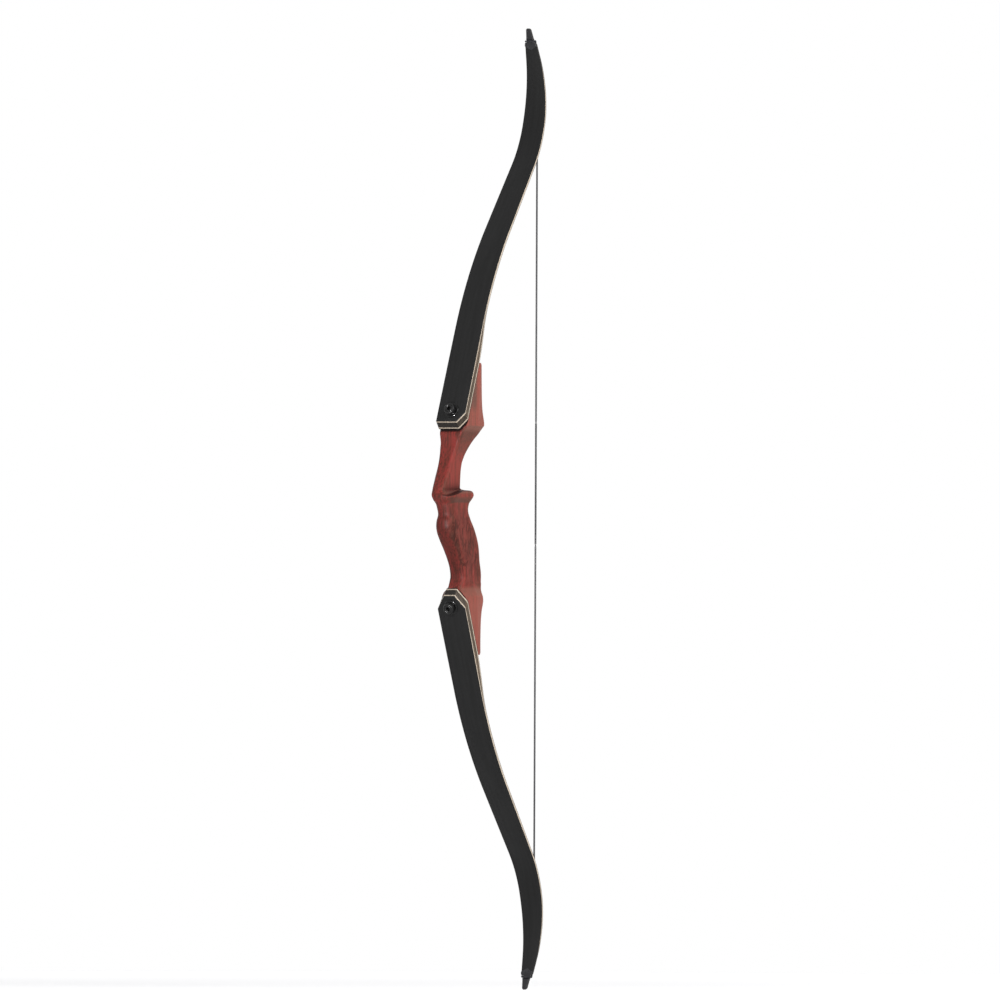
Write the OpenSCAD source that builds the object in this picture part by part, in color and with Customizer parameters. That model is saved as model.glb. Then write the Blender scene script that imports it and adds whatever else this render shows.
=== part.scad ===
// Takedown recurve bow, strung, for a right-handed archer.
// The origin is the throat of the grip, on the side that faces the archer.
// +Z runs up the bow, -Y points at the target and +X is the side of the sight window.
// The lower limb and its hardware mirror the upper ones.

/* [Whole bow] */
// Length of the strung bow from tip to tip, taken up by the straight middle of each limb
bow_length = 1450.2; // [1420:2:1490]

/* [Limb position] */
// Height of each limb bolt above or below the throat
bolt_z = 148; // [142:0.5:154]
// Distance of the limb's back ahead of the throat, at the bolt
bolt_y = 34.3; // [30:0.1:38]
// Lean of the limb pads from vertical
pad_angle = 20.5; // [19:0.5:22]

/* [Limb curve] */
// Straight butt, from the bolt outwards along the back
butt_run = 135; // [125:1:145]
// Length of the gentle forward curve
sweep_run = 170; // [155:1:185]
// Angle of the gentle forward curve
sweep_angle = 16; // [13:0.5:18]
// Radius of the recurve
recurve_r = 180; // [165:1:195]
// Angle of the recurve
recurve_angle = 53; // [49:0.5:56]
// Straight tip beyond the recurve
tip_run = 50; // [44:1:56]

/* [Limb section] */
// Width at the butt
limb_w = 48.6; // [46:0.2:51]
// Width where the recurve starts to narrow
recurve_w = 37.8; // [35:0.2:40]
// Width at the shoulder below the string nock
shoulder_w = 19.6; // [18:0.2:22]
// Width of the rounded end of the tip
tip_w = 7.4; // [6.4:0.2:8.4]
// Thickness of each glass facing
glass_t = 0.9; // [0.7:0.1:1.1]
// Thickness of each pale lamination at the butt
core_t = 1.6; // [1.3:0.1:1.9]
// Thickness of each pale lamination at the tip
core_tip_t = 0.75; // [0.6:0.05:0.9]
// Thickness of the wedge at the butt
wedge_t = 7.4; // [6.4:0.2:8.4]
// Distance from the bolt to where the wedge starts to thin
wedge_full = 78; // [70:1:90]
// Distance from the bolt to where the wedge runs out, where the limb starts to bend
wedge_end = 172; // [160:1:185]
// Length of the limb behind the bolt, on its back
butt_end = 17; // [15:0.5:20]
// Extra length of the butt on the belly, from its bevelled end
butt_bevel = 8.6; // [7:0.2:10]
// Chamfer of the upper butt's corner across the limb
corner_x = 12.6; // [10:0.2:15]
// Chamfer of the upper butt's corner along the limb
corner_s = 14.6; // [12:0.2:17]
// Chamfer of the lower butt's two corners across the limb
low_corner_x = 15; // [12:0.5:17]
// Chamfer of the lower butt's two corners along the limb
low_corner_s = 20; // [16:0.5:22]

/* [Tip] */
// Distance of the nock grooves from the end of the tip
nock_back = 20; // [18:0.5:22]
// Radius of the nock grooves
groove_r = 2.2; // [2:0.1:2.6]
// Thickness of the tip overlay
overlay_t = 1.6; // [1.2:0.1:2]
// Length of the tip overlay, to the point of its V
overlay_run = 34; // [30:1:38]
// Length of the V
overlay_v = 11; // [8:1:14]

/* [Riser] */
// Height of the fade tips above and below the throat
fade_z = 219.7; // [214:0.5:226]
// Width of the grip at its throat
throat_w = 29; // [26:0.5:32]
// Width of the swell of the grip
swell_w = 31.2; // [28:0.2:34]
// Width of the slim neck between the grip and the lower pad
neck_w = 27.2; // [25:0.2:30]
// Place of the sight window's face, from the string's plane
window_x = 3; // [1:0.5:5]
// Reach of the arrow shelf from the string's plane
shelf_x = 19.5; // [17:0.5:22]
// Height of the arrow shelf at its crown
shelf_z = 28; // [25:0.5:31]
// Radius of the corner between the shelf and the sight window, where the shelf is level
shelf_r = 1; // [0.5:0.25:2]
// Level run of the shelf from the grip's throat towards the target
shelf_run = 20; // [14:1:26]
// Fall of the shelf towards the target beyond its level run
shelf_lean = 12; // [9:0.5:14]
// Width of the bevel on each side of the riser, beside the pads
facet_w = 2.5; // [1.5:0.5:3.5]

/* [Hardware] */
// Diameter of the limb bolt's shank
bolt_d = 8; // [7:0.5:9]
// Thread pitch of the limb bolt
bolt_pitch = 1.25; // [1:0.25:1.5]
// Diameter of the bolt's knob
knob_d = 17; // [15:0.5:19]
// Height of the bolt's knob
knob_h = 8; // [7:0.5:10]
// Width across the flats of the hexagon socket
socket_af = 6; // [5:0.5:6.5]
// Depth of the hexagon socket
socket_depth = 5; // [4:0.5:6]
// Diameter of the washer
washer_d = 23.5; // [21:0.5:25]
// Thickness of the washer
washer_t = 2; // [1.5:0.1:2.5]
// Length of thread held in the riser
thread_run = 16; // [14:1:20]
// Diameter of the threaded insert
insert_d = 13; // [11.5:0.5:14]
// Diameter of the locating pin
pin_d = 6; // [5:0.5:7]
// Distance of the locating pin from the bolt
pin_s = 34; // [28:1:40]
// Depth of the locating pin in the riser
pin_deep = 14; // [10:1:18]
// Height of the locating pin above the pad
pin_proud = 6; // [5:0.5:7]

/* [String] */
// Diameter of the bare string
string_d = 2.8; // [2.4:0.1:3.2]
// Diameter of the strands where the serving squeezes them
core_d = 2; // [1.8:0.1:2.2]
// Diameter of the servings and of the loops
serving_d = 3; // [2.8:0.1:3.2]
// Height of the nocking point
nocking_z = 38; // [34:1:42]
// Length of the centre serving, half of it each way from the nocking point
serving_run = 182; // [160:2:200]
// Length of the end serving, from the nock down the string
end_serving_run = 120; // [100:5:140]
// Gap between the string and the limb
string_gap = 0.3; // [0.2:0.1:0.5]
// Gap between parts that must not touch
fit_gap = 0.3; // [0.2:0.05:0.4]
// Radial clearance where the bolt turns in its insert
run_gap = 0.05; // [0.03:0.01:0.08]

/* [Hidden] */

wood = "#8a3f38";
glass = "#303030";
maple = "#d8c8b4";
walnut = "#5a4a38";
black_metal = "#1c1c1c";
brass_colour = "#b08d4a";
steel_colour = "#9a9a9a";
charcoal = "#26262a";

big = 400;

// General curves

// The segment of a table that holds z
function seg(table, z, i = 0) =
    i >= len(table) - 2 || z < table[i + 1][0] ? i : seg(table, z, i + 1);

function chord(table, i) =
    (table[i + 1][1] - table[i][1]) / (table[i + 1][0] - table[i][0]);

// Slope at a point of the table, level wherever the curve turns back, so that it never overshoots
function slope(table, i) =
    i == 0 || i == len(table) - 1 ? 0 :
    let (a = chord(table, i - 1), b = chord(table, i))
    a * b <= 0 ? 0 : 2 * a * b / (a + b);

// Smooth curve through a table of [z, value]
function smooth(table, z) =
    let (i = seg(table, z), z0 = table[i][0], z1 = table[i + 1][0],
         t = max(0, min(1, (z - z0) / (z1 - z0))), run = z1 - z0)
    table[i][1] * (1 + 2 * t) * (1 - t) * (1 - t)
        + slope(table, i) * run * t * (1 - t) * (1 - t)
        + table[i + 1][1] * t * t * (3 - 2 * t)
        - slope(table, i + 1) * run * t * t * (1 - t);

function ease(t) = let (u = max(0, min(1, t))) u * u * (3 - 2 * u);

// Limb path. s runs along the limb's back from the bolt outwards, in the plane of [y, z].

recurve_run = recurve_r * recurve_angle * PI / 180;
sweep_r = sweep_run * 180 / (sweep_angle * PI);
middle_angle = pad_angle + sweep_angle;
tip_angle = middle_angle - recurve_angle;
s_sweep = butt_run;
s_middle = s_sweep + sweep_run;
// The straight middle takes up what the other runs leave of half the bow's length
middle_run = (bow_length / 2 - bolt_z - butt_run * cos(pad_angle)
    - sweep_r * (sin(middle_angle) - sin(pad_angle))
    - recurve_r * (sin(middle_angle) - sin(tip_angle)) - tip_run * cos(tip_angle)) / cos(middle_angle);
s_recurve = s_middle + middle_run;
s_straight_tip = s_recurve + recurve_run;
s_end = s_straight_tip + tip_run;
s_crown = s_recurve + recurve_r * middle_angle * PI / 180;

function go(p, angle, run) = [p[0] + run * sin(angle), p[1] + run * cos(angle)];
function bend(p, a, b, r) =
    [p[0] + r * (cos(a) - cos(b)), p[1] + r * (sin(b) - sin(a))];

p_bolt = [-bolt_y, bolt_z];
p_sweep = go(p_bolt, pad_angle, butt_run);
p_middle = bend(p_sweep, pad_angle, middle_angle, sweep_r);
p_recurve = go(p_middle, middle_angle, middle_run);
p_tip = bend(p_recurve, middle_angle, tip_angle, -recurve_r);

// Heading of the back at s, from vertical
function heading(s) =
    s < s_sweep ? pad_angle :
    s < s_middle ? pad_angle + (s - s_sweep) / sweep_run * sweep_angle :
    s < s_recurve ? middle_angle :
    s < s_straight_tip ? middle_angle - (s - s_recurve) / recurve_run * recurve_angle :
    tip_angle;

// Point of the back at s
function back(s) =
    s < s_sweep ? go(p_bolt, pad_angle, s) :
    s < s_middle ? bend(p_sweep, pad_angle, heading(s), sweep_r) :
    s < s_recurve ? go(p_middle, middle_angle, s - s_middle) :
    s < s_straight_tip ? bend(p_recurve, middle_angle, heading(s), -recurve_r) :
    go(p_tip, tip_angle, s - s_straight_tip);

// Point at s that lies deep below the back, towards the archer
function inside(s, deep) =
    let (p = back(s), h = heading(s)) [p[0] + deep * cos(h), p[1] - deep * sin(h)];

// Lay-up. Each layer lies between two of the six joints of the stack, from 0, the back, to 5.

function core(s) =
    core_t + (core_tip_t - core_t) * ease((s - wedge_end) / (s_end - wedge_end));
function wedge(s) =
    wedge_t * (1 - ease((s - wedge_full) / (wedge_end - wedge_full)));
function joint_depth(k, s) =
    k == 0 ? 0 :
    k == 1 ? glass_t :
    k == 2 ? glass_t + core(s) :
    k == 3 ? glass_t + core(s) + wedge(s) :
    k == 4 ? glass_t + 2 * core(s) + wedge(s) :
    2 * glass_t + 2 * core(s) + wedge(s);
function thick(s) = joint_depth(5, s);
butt_t = thick(0);

// Places along the limb where the layers get a point
taper_step = 8;
curve_step = 6;
root_steps = [for (s = [0, wedge_full]) s,
    for (s = [wedge_full + taper_step : taper_step : wedge_end - taper_step / 2]) s,
    wedge_end];
work_steps = [for (s = [wedge_end : taper_step : s_middle - taper_step / 2]) s,
    for (s = [s_middle : 4 * curve_step : s_recurve - curve_step]) s,
    for (s = [s_recurve : curve_step : s_straight_tip - curve_step / 2]) s,
    s_straight_tip, s_end];

// Width of the limb at s
butt_power = 1.6;
tip_power = 1.45;
s_shoulder = s_end - nock_back - 5.5;
s_narrow = s_shoulder - 120;
function width(s) =
    s < s_narrow
    ? limb_w - (limb_w - recurve_w) * pow(max(0, s + butt_end) / (s_narrow + butt_end), butt_power)
    : recurve_w - (recurve_w - shoulder_w)
        * pow((min(s, s_shoulder) - s_narrow) / (s_shoulder - s_narrow), tip_power);

// Nock: the grooves cut the sides at groove_z, and the tip narrows past them
s_nock = s_end - nock_back;
groove_z = back(s_nock)[1];
head_w = 0.54 * shoulder_w;
groove_x = head_w / 2 + groove_r - 0.9;

// Half outline of the limb, seen from the target
outline_step = 15;
outline_half = concat(
    [for (s = [-2 * butt_end : outline_step : s_narrow]) [width(s) / 2, back(s)[1]]],
    [for (s = [s_narrow + outline_step / 2 : outline_step / 2 : s_shoulder - 2])
        [width(s) / 2, back(s)[1]]],
    [[shoulder_w / 2, back(s_shoulder)[1]],
     [head_w / 2, back(s_nock + 4.5)[1]]],
    [for (a = [0 : 15 : 75]) [tip_w / 2 * cos(a), back(s_end - tip_w / 2 * (1 - sin(a)))[1]]]);
function flip_x(points) =
    [for (i = [len(points) - 1 : -1 : 0]) [-points[i][0], points[i][1]]];

module limb_outline() {
    rotate([90, 0, 0]) linear_extrude(2 * big, center = true)
        difference() {
            polygon(concat(outline_half, [[0, back(s_end)[1]]], flip_x(outline_half)));
            for (side = [-1, 1])
                translate([side * groove_x, groove_z]) circle(groove_r, $fn = 48);
        }
}

// A profile in [y, z], made a slab across the whole width
module slab(points) {
    rotate([90, 0, 90]) linear_extrude(2 * limb_w, center = true) polygon(points);
}

// Places the local origin on the limb's back at the bolt: +Z points at the target, +Y outboard
module at_pad() {
    translate([0, -bolt_y, bolt_z]) rotate([90 - pad_angle, 0, 0]) children();
}

// The bevelled end of the butt leans by this angle from square
bevel_angle = atan(butt_bevel / butt_t);
function butt_s(deep) = -butt_end - butt_bevel * deep / butt_t;

// Cuts one corner off the butt, parallel to its bevelled end. cut holds the side and the chamfer's two runs.
module butt_corner(cut) {
    inner = limb_w / 2 - cut[1];
    along = cut[2] * cos(bevel_angle);
    end = back(-butt_end);
    translate([0, end[0], end[1]]) rotate([-90 - pad_angle - bevel_angle, 0, 0])
        linear_extrude(big, center = true)
            polygon([for (p = [[inner, 0], [limb_w / 2, -along], [big, -along], [big, big], [inner, big]])
                [cut[0] * p[0], p[1]]]);
}

// One layer of the fixed butt, between joints a and b of the stack
module root_layer(a, b, corners) {
    outer = [for (s = root_steps) inside(s, joint_depth(a, s))];
    inner = [for (i = [len(root_steps) - 1 : -1 : 0])
        if (wedge_end - root_steps[i] > 0.01 || joint_depth(b, wedge_end) > joint_depth(a, wedge_end) + 0.01)
            inside(root_steps[i], joint_depth(b, root_steps[i]))];
    butt = [inside(butt_s(joint_depth(b, 0)), joint_depth(b, 0)),
        inside(butt_s(joint_depth(a, 0)), joint_depth(a, 0))];
    difference() {
        intersection() {
            slab(concat(outer, inner, butt));
            limb_outline();
        }
        for (cut = corners) butt_corner(cut);
        at_pad() {
            translate([0, 0, -2 * butt_t]) cylinder(d = bolt_d + 2 * fit_gap, h = 4 * butt_t, $fn = 48);
            if (b > 2) translate([0, pin_s, -2 * butt_t])
                cylinder(d = pin_d + 2 * run_gap, h = 2 * butt_t - butt_t + pin_proud + fit_gap, $fn = 48);
        }
    }
}

// One layer of the bending limb, between joints a and b of the stack
module work_layer(a, b) {
    intersection() {
        slab(concat([for (s = work_steps) inside(s, joint_depth(a, s))],
            [for (i = [len(work_steps) - 1 : -1 : 0]) inside(work_steps[i], joint_depth(b, work_steps[i]))]));
        limb_outline();
    }
}

// Overlay on the back of the tip, ending in a V
module tip_overlay() {
    from = s_end - overlay_run;
    overlay_steps = [for (s = [from, max(from + 1, s_straight_tip), s_end]) s];
    low = back(from)[1];
    full = back(from + overlay_v)[1];
    color(black_metal) intersection() {
        slab([for (s = overlay_steps) inside(s, -overlay_t),
            for (i = [2, 1, 0]) inside(overlay_steps[i], 0)]);
        limb_outline();
        rotate([90, 0, 0]) linear_extrude(2 * big, center = true)
            polygon([[0, low], [shoulder_w, full], [shoulder_w, 2 * big],
                [-shoulder_w, 2 * big], [-shoulder_w, full]]);
    }
}

// Riser. Each table is one line of its template: the back and the belly as [z, y] from the side,
// and the two sides as [z, x] from the front.

pad_y = -bolt_y + butt_t / cos(pad_angle);
function pad_line(z) = pad_y + (abs(z) - bolt_z) * tan(pad_angle);

fade_t = 5.8;
back_proud = 10;
pad_foot = 122;
back_line = [[-fade_z, pad_line(pad_foot) - 2], [-pad_foot, pad_line(pad_foot) - 2], [-114, -25.4],
    [-103, -19.6], [-90, -22.8], [-76, -30], [-60, -40.8], [-46, -52], [-34, -59.8], [-26, -61.8],
    [-18, -61.2], [-9, -58.4], [2, -61], [8, -63], [13, -67.2], [19, -69.2], [28, -64],
    [45, -53], [66, -41.4], [82, -35.4], [90, -33.2], [100, -31.2], [106, -31.6], [112.5, -32.3],
    [118.5, pad_line(118.5) + 1.1], [122, pad_line(122) + 0.6], [128, pad_line(128) - 2], [fade_z, -36]];
belly_line = [[-fade_z, pad_line(fade_z) + fade_t], [-fade_z + 3, pad_line(fade_z) + fade_t + 1.6],
    [-204, 13.6], [-174, 16.6], [-156, 19.8], [-142, 24], [-138, 24.9], [-132, 24.2], [-126, 24.8],
    [-120, 27.6], [-112, 31.6], [-98, 34.5],
    [-78, 30.5], [-60, 27.5], [-44, 22.5], [-30, 15.5], [-16, 6], [0, 0], [10, 0.8], [20, 3],
    [shelf_z - 1.5, 3], [shelf_z, 1], [shelf_z + 1.2, -7], [shelf_z + 4, -10.8], [54, -9.8], [67, -7], [79, -2.6], [91, 3], [103, 10.5],
    [115, 20.5], [121, 24], [127, 25.5], [131, 25], [139, 22.6], [150, 19.9], [173, 17],
    [205, 13.8], [fade_z - 3, pad_line(fade_z) + fade_t + 1.6], [fade_z, pad_line(fade_z) + fade_t]];
// The riser is a little narrower than the butts that lie on its pads
riser_w = limb_w - 0.4;
side_low = [[-fade_z, riser_w], [-146, riser_w / 2 + 7], [-134, riser_w / 2 + 1],
    [-126, riser_w / 2 - 2.5], [-120, neck_w / 2 + 4.1], [-114, neck_w / 2 + 1.7],
    [-108, neck_w / 2 + 0.4], [-98, neck_w / 2], [-84, neck_w / 2 + 0.4],
    [-66, swell_w / 2 - 0.6], [-50, swell_w / 2], [-24, swell_w / 2], [-6, throat_w / 2]];
right_line = concat(side_low, [[4, throat_w / 2 + 0.3], [8, shelf_x - 4.6], [13, shelf_x - 2.4], [16.5, shelf_x - 0.8],
    [20, shelf_x], [shelf_z - 5, shelf_x - 0.6], [shelf_z - 2.5, shelf_x - 2.4],
    [shelf_z - 1.2, shelf_x - 4.5], [shelf_z - 0.4, shelf_x - 8],
    [shelf_z + 0.3, window_x + shelf_r], [shelf_z + shelf_r + 0.6, window_x], [67, window_x], [79, window_x + 1.6], [91, window_x + 5],
    [103, window_x + 9.1], [115, window_x + 14.5], [121, window_x + 18.2],
    [127, window_x + 22.5], [fade_z, riser_w]]);
left_line = concat(side_low, [[4, throat_w / 2 + 0.4], [12, throat_w / 2 + 2],
    [20, throat_w / 2 + 4], [32, throat_w / 2 + 6], [50, riser_w / 2 - 1.6],
    [90, riser_w / 2], [fade_z, riser_w]]);
// Narrowing of the riser's back beside the lower butt
flare_line = [[-fade_z, 0], [-144, 0], [-138, 1.5], [-132, 4], [-126, 5], [-120, 5], [-114, 2],
    [-106, 0], [fade_z, 0]];

// Radii of the long edges: the back's left and right edges, and the belly's
back_left_r = [[-fade_z, 3], [-134, 4], [-126, 6.5], [-120, 10], [-112, 8], [-104, 7], [-84, 9.5], [-50, 12], [-10, 13.5], [10, 12],
    [30, 10], [70, 8.5], [100, 6], [118, 4], [fade_z, 3]];
back_right_r = [[-fade_z, 3], [-134, 4], [-126, 6.5], [-120, 10], [-112, 8], [-104, 7], [-84, 9.5], [-50, 12], [-10, 13.5], [12, 16],
    [shelf_z - 2, 17], [shelf_z - 0.4, 16], [shelf_z + 0.3, 12], [shelf_z + 4, 9], [50, 6], [70, 5], [100, 5.5],
    [118, 4], [fade_z, 3]];
belly_r = [[-fade_z, 2], [-140, 3], [-126, 4], [-108, 7], [-84, 9.5], [-50, 12], [-24, 14],
    [0, 14.2], [12, 10], [22, 7], [40, 5.5], [100, 4.5], [118, 4], [127, 3], [fade_z, 2]];
// Where each side breaks into its bevel beside the pads, and how far the bevel draws in
knee_line = [[-fade_z, 8], [-127, 1], [-108, 5], [-60, -6], [0, -28], [30, -30], [60, -28],
    [100, -10], [127, 1], [fade_z, 8]];
bevel_line = [[-fade_z, 0.3], [-150, facet_w], [-128, facet_w], [-112, 0], [108, 0],
    [127, facet_w], [150, facet_w], [fade_z, 0.3]];

corner_steps = 7;
function arc_points(cx, cy, r, a0) =
    [for (i = [0 : corner_steps - 1]) let (a = a0 + 90 * i / (corner_steps - 1))
        [cx + r * cos(a), cy + r * sin(a)]];

// One ring of the riser at height z, anticlockwise from above
function ring(z) =
    let (x0 = -min(smooth(left_line, z), riser_w / 2), x1 = min(smooth(right_line, z), riser_w / 2),
         flare = smooth(flare_line, z),
         y0 = smooth(back_line, z), y1 = smooth(belly_line, z),
         draw_in = smooth(bevel_line, z),
         half = (x1 - x0) / 2 - flare - 0.2,
         rl = min(smooth(back_left_r, z), half), rr = min(smooth(back_right_r, z), half + 4),
         rb = min(smooth(belly_r, z), half - draw_in),
         knee = min(max(smooth(knee_line, z), y0 + max(rl, rr) + 0.5), y1 - rb - 0.3))
    concat(arc_points(x0 + flare + rl, y0 + rl, rl, 180),
        arc_points(x1 - flare - rr, y0 + rr, rr, 270),
        [[x1, knee]],
        arc_points(x1 - draw_in - rb, y1 - rb, rb, 0),
        arc_points(x0 + draw_in + rb, y1 - rb, rb, 90),
        [[x0, knee]]);

ring_zs = [for (z = [-fade_z, -fade_z + 1.2, -fade_z + 3]) z,
    for (z = [-206 : 10 : -146]) z, for (z = [-140 : 3 : -104]) z,
    for (z = [-98 : 6 : 10]) z, for (z = [13.5 : 3.5 : 20.5]) z,
    for (z = [-5, -3.7, -2.5, -1.7, -1.1, -0.6, -0.2, 0.2, 0.7, 1.4, 2.2, 4, 7.5]) shelf_z + z,
    for (z = [39 : 5 : 54]) z, for (z = [60 : 7 : 88]) z, for (z = [94 : 4 : 110]) z,
    for (z = [115 : 3 : 133]) z, for (z = [139 : 11 : 205]) z,
    for (z = [fade_z - 3, fade_z - 1.2, fade_z]) z];

module loft(rings) {
    n = len(rings[0]);
    m = len(rings);
    polyhedron(
        points = [for (r = rings) for (p = r) p],
        faces = concat(
            [[for (j = [0 : n - 1]) j]],
            [[for (j = [n - 1 : -1 : 0]) (m - 1) * n + j]],
            [for (i = [0 : m - 2]) for (j = [0 : n - 1]) let (k = (j + 1) % n)
                each [[i * n + j, (i + 1) * n + j, (i + 1) * n + k],
                      [i * n + j, (i + 1) * n + k, i * n + k]]]));
}

module riser_blank() {
    loft([for (z = ring_zs) [for (p = ring(z)) [p[0], p[1], z]]]);
}

// Outline of the space over the shelf, at a distance out towards the target. The floor falls beyond its
// level run, and the corner at the sight window grows by the fall, so that the window ends in a level line.
function shelf_ring(out) =
    let (fall = max(0, out - shelf_run) * tan(shelf_lean), r = shelf_r + fall, floor_z = shelf_z - fall)
    concat([for (a = [0 : 9 : 90]) [window_x + r * (1 - cos(a)), floor_z + r * (1 - sin(a)), out]],
        [[window_x + 40, floor_z, out], [window_x + 40, shelf_z + 15, out], [window_x, shelf_z + 15, out]]);

// Clears the arrow shelf, from behind the throat to beyond the back
module shelf_space() {
    rotate([90, 0, 0]) loft([for (out = [-8, shelf_run, 90]) shelf_ring(out)]);
}

module riser() {
    color(wood) difference() {
        riser_blank();
        shelf_space();
        for (up = [0, 1]) mirror([0, 0, up]) at_pad() {
            // The flat pad that the limb is bolted on
            translate([-big / 2, -60, -butt_t]) cube([big, big, big]);
            // Hole of the threaded insert
            translate([0, 0, -butt_t - thread_run - fit_gap])
                cylinder(d = insert_d, h = thread_run + fit_gap + 1, $fn = 64);
            translate([0, pin_s, -butt_t - pin_deep]) cylinder(d = pin_d, h = pin_deep + 1, $fn = 48);
        }
    }
}

// Hardware, on the upper pad

module insert() {
    color(brass_colour) at_pad() difference() {
        translate([0, 0, -butt_t - thread_run]) cylinder(d = insert_d, h = thread_run, $fn = 64);
        translate([0, 0, -butt_t - thread_run - 1])
            cylinder(d = bolt_d + 2 * run_gap, h = thread_run + 2, $fn = 64);
    }
}

module locating_pin() {
    color(steel_colour) at_pad() translate([0, pin_s, -butt_t - pin_deep])
        cylinder(d = pin_d, h = pin_deep + pin_proud, $fn = 48);
}

module washer() {
    color(black_metal) at_pad() difference() {
        rotate_extrude($fn = 96) polygon([[0, 0], [washer_d / 2, 0],
            [washer_d / 2, washer_t * 0.6], [washer_d / 2 - 1, washer_t], [0, washer_t]]);
        translate([0, 0, -1]) cylinder(d = bolt_d + 2 * run_gap, h = washer_t + 2, $fn = 64);
    }
}

// Knob with a chamfered rim and a turned ring on its face, over the shank
module limb_bolt() {
    shank = butt_t + thread_run - 1;
    rim = 0.9;
    ring_r = knob_d * 0.33;
    color(black_metal) at_pad() difference() {
        rotate_extrude($fn = 96) polygon([[0, -shank], [bolt_d / 2 - 1, -shank],
            [bolt_d / 2, -shank + 1], [bolt_d / 2, washer_t], [knob_d / 2 - 0.4, washer_t],
            [knob_d / 2, washer_t + 0.4], [knob_d / 2, washer_t + knob_h - rim],
            [knob_d / 2 - rim, washer_t + knob_h], [ring_r + 0.5, washer_t + knob_h],
            [ring_r, washer_t + knob_h - 0.5], [ring_r - 0.5, washer_t + knob_h],
            [0, washer_t + knob_h]]);
        translate([0, 0, washer_t + knob_h - socket_depth])
            cylinder(d = socket_af / cos(30), h = socket_depth + 1, $fn = 6);
    }
}

// String

serving_r = serving_d / 2;
string_lift = string_gap + serving_r;
string_y = inside(s_crown, thick(s_crown) + string_lift)[0];
crown_z = inside(s_crown, thick(s_crown) + string_lift)[1];
neck_back = 26;
s_neck = s_nock - neck_back;
s_string = s_neck - serving_d - fit_gap;

// Route of the upper half of the string, from its loop down to the nocking point
wrap_rings = 12;
bare_rings = 20;
served_rings = 4;
function string_route(end_z) =
    let (served_z = end_z + serving_run / 2 + 0.5, bare_z = served_z + 4)
    concat(
        [for (i = [0 : wrap_rings - 1]) let (s = s_string + (s_crown - s_string) * i / wrap_rings)
            inside(s, thick(s) + string_lift)],
        [for (i = [0 : bare_rings]) [string_y, crown_z + (bare_z - crown_z) * i / bare_rings]],
        [for (i = [0 : served_rings]) [string_y, served_z + (end_z - served_z) * i / served_rings]]);

string_sides = 8;
// Ring of a tube round a route in [y, z], in the plane that halves the bend
function tube_ring(route, i, r) =
    let (a = route[max(0, i - 1)], b = route[min(len(route) - 1, i + 1)],
         run = norm(b - a), dy = (b[0] - a[0]) / run, dz = (b[1] - a[1]) / run, p = route[i])
    [for (k = [0 : string_sides - 1]) let (t = 360 * (k + 0.5) / string_sides,
        across = r * cos(t), side = r * sin(t))
        [across, p[0] + side * dz, p[1] - side * dy]];

function reach(route, i) = i == 0 ? 0 : reach(route, i - 1) + norm(route[i] - route[i - 1]);

// The string starts in a short nose that ends just below the loop's foot
module string_half(end_z) {
    nose_s = s_string + serving_r;
    route = concat([inside(nose_s, thick(nose_s) + string_lift)], string_route(end_z));
    color(charcoal) loft([for (i = [0 : len(route) - 1])
        let (squeezed = reach(route, i) < end_serving_run || route[i][1] < end_z + serving_run / 2 + 1)
        tube_ring(route, i, i == 0 ? core_d / 4 : (squeezed ? core_d : string_d) / 2)]);
}

// The end serving is a sleeve round the first rings of the same route
module end_serving(end_z) {
    route = string_route(end_z);
    served = [for (i = [0 : len(route) - 1]) if (reach(route, i) < end_serving_run + 1) i];
    color(charcoal) difference() {
        loft([for (i = served) tube_ring(route, i, serving_r)]);
        loft([for (i = [0 : len(served)]) tube_ring(route, i, core_d / 2 + run_gap)]);
    }
}

module centre_serving(end_z) {
    color(charcoal) translate([0, string_y, end_z]) difference() {
        cylinder(d = serving_d, h = serving_run / 2, $fn = 48);
        translate([0, 0, -1]) cylinder(d = core_d + 2 * run_gap, h = serving_run / 2 + 2, $fn = 48);
    }
}

// The loop: a closed tube up one groove, across the back over the overlay and down the other
loop_rings = 32;
loop_sides = 8;
loop_half = let (t = thick(s_nock), lift = string_gap + serving_r,
    belly_low = inside(s_nock - 23, t + lift), belly_mid = inside(s_nock - 11, t + lift),
    belly_top = inside(s_nock - 2, t + lift * 0.7), mid = inside(s_nock, t / 2),
    over = inside(s_nock + 0.5, -overlay_t - lift * 0.75), top = inside(s_nock + 1, -overlay_t - lift))
    [[2, belly_low[0], belly_low[1]], [4.6, belly_mid[0], belly_mid[1]],
     [groove_x - 0.2, belly_top[0], belly_top[1]], [groove_x, mid[0], groove_z],
     [groove_x - 0.8, over[0], over[1]], [groove_x / 2, top[0], top[1]]];
loop_foot = let (p = inside(s_neck, thick(s_neck) + string_lift)) [0, p[0], p[1]];
loop_top = let (p = inside(s_nock + 1.2, -overlay_t - string_lift)) [0, p[0], p[1]];
loop_points = concat([loop_foot], loop_half, [loop_top],
    [for (i = [len(loop_half) - 1 : -1 : 0]) [-loop_half[i][0], loop_half[i][1], loop_half[i][2]]]);

// Closed Catmull-Rom curve through points
function closed_curve(points, u) =
    let (n = len(points), i = floor(u * n) % n, t = u * n - floor(u * n),
         a = points[(i + n - 1) % n], b = points[i], c = points[(i + 1) % n], d = points[(i + 2) % n])
    0.5 * (2 * b + (c - a) * t + (2 * a - 5 * b + 4 * c - d) * t * t
        + (3 * b - a - 3 * c + d) * t * t * t);

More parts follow.
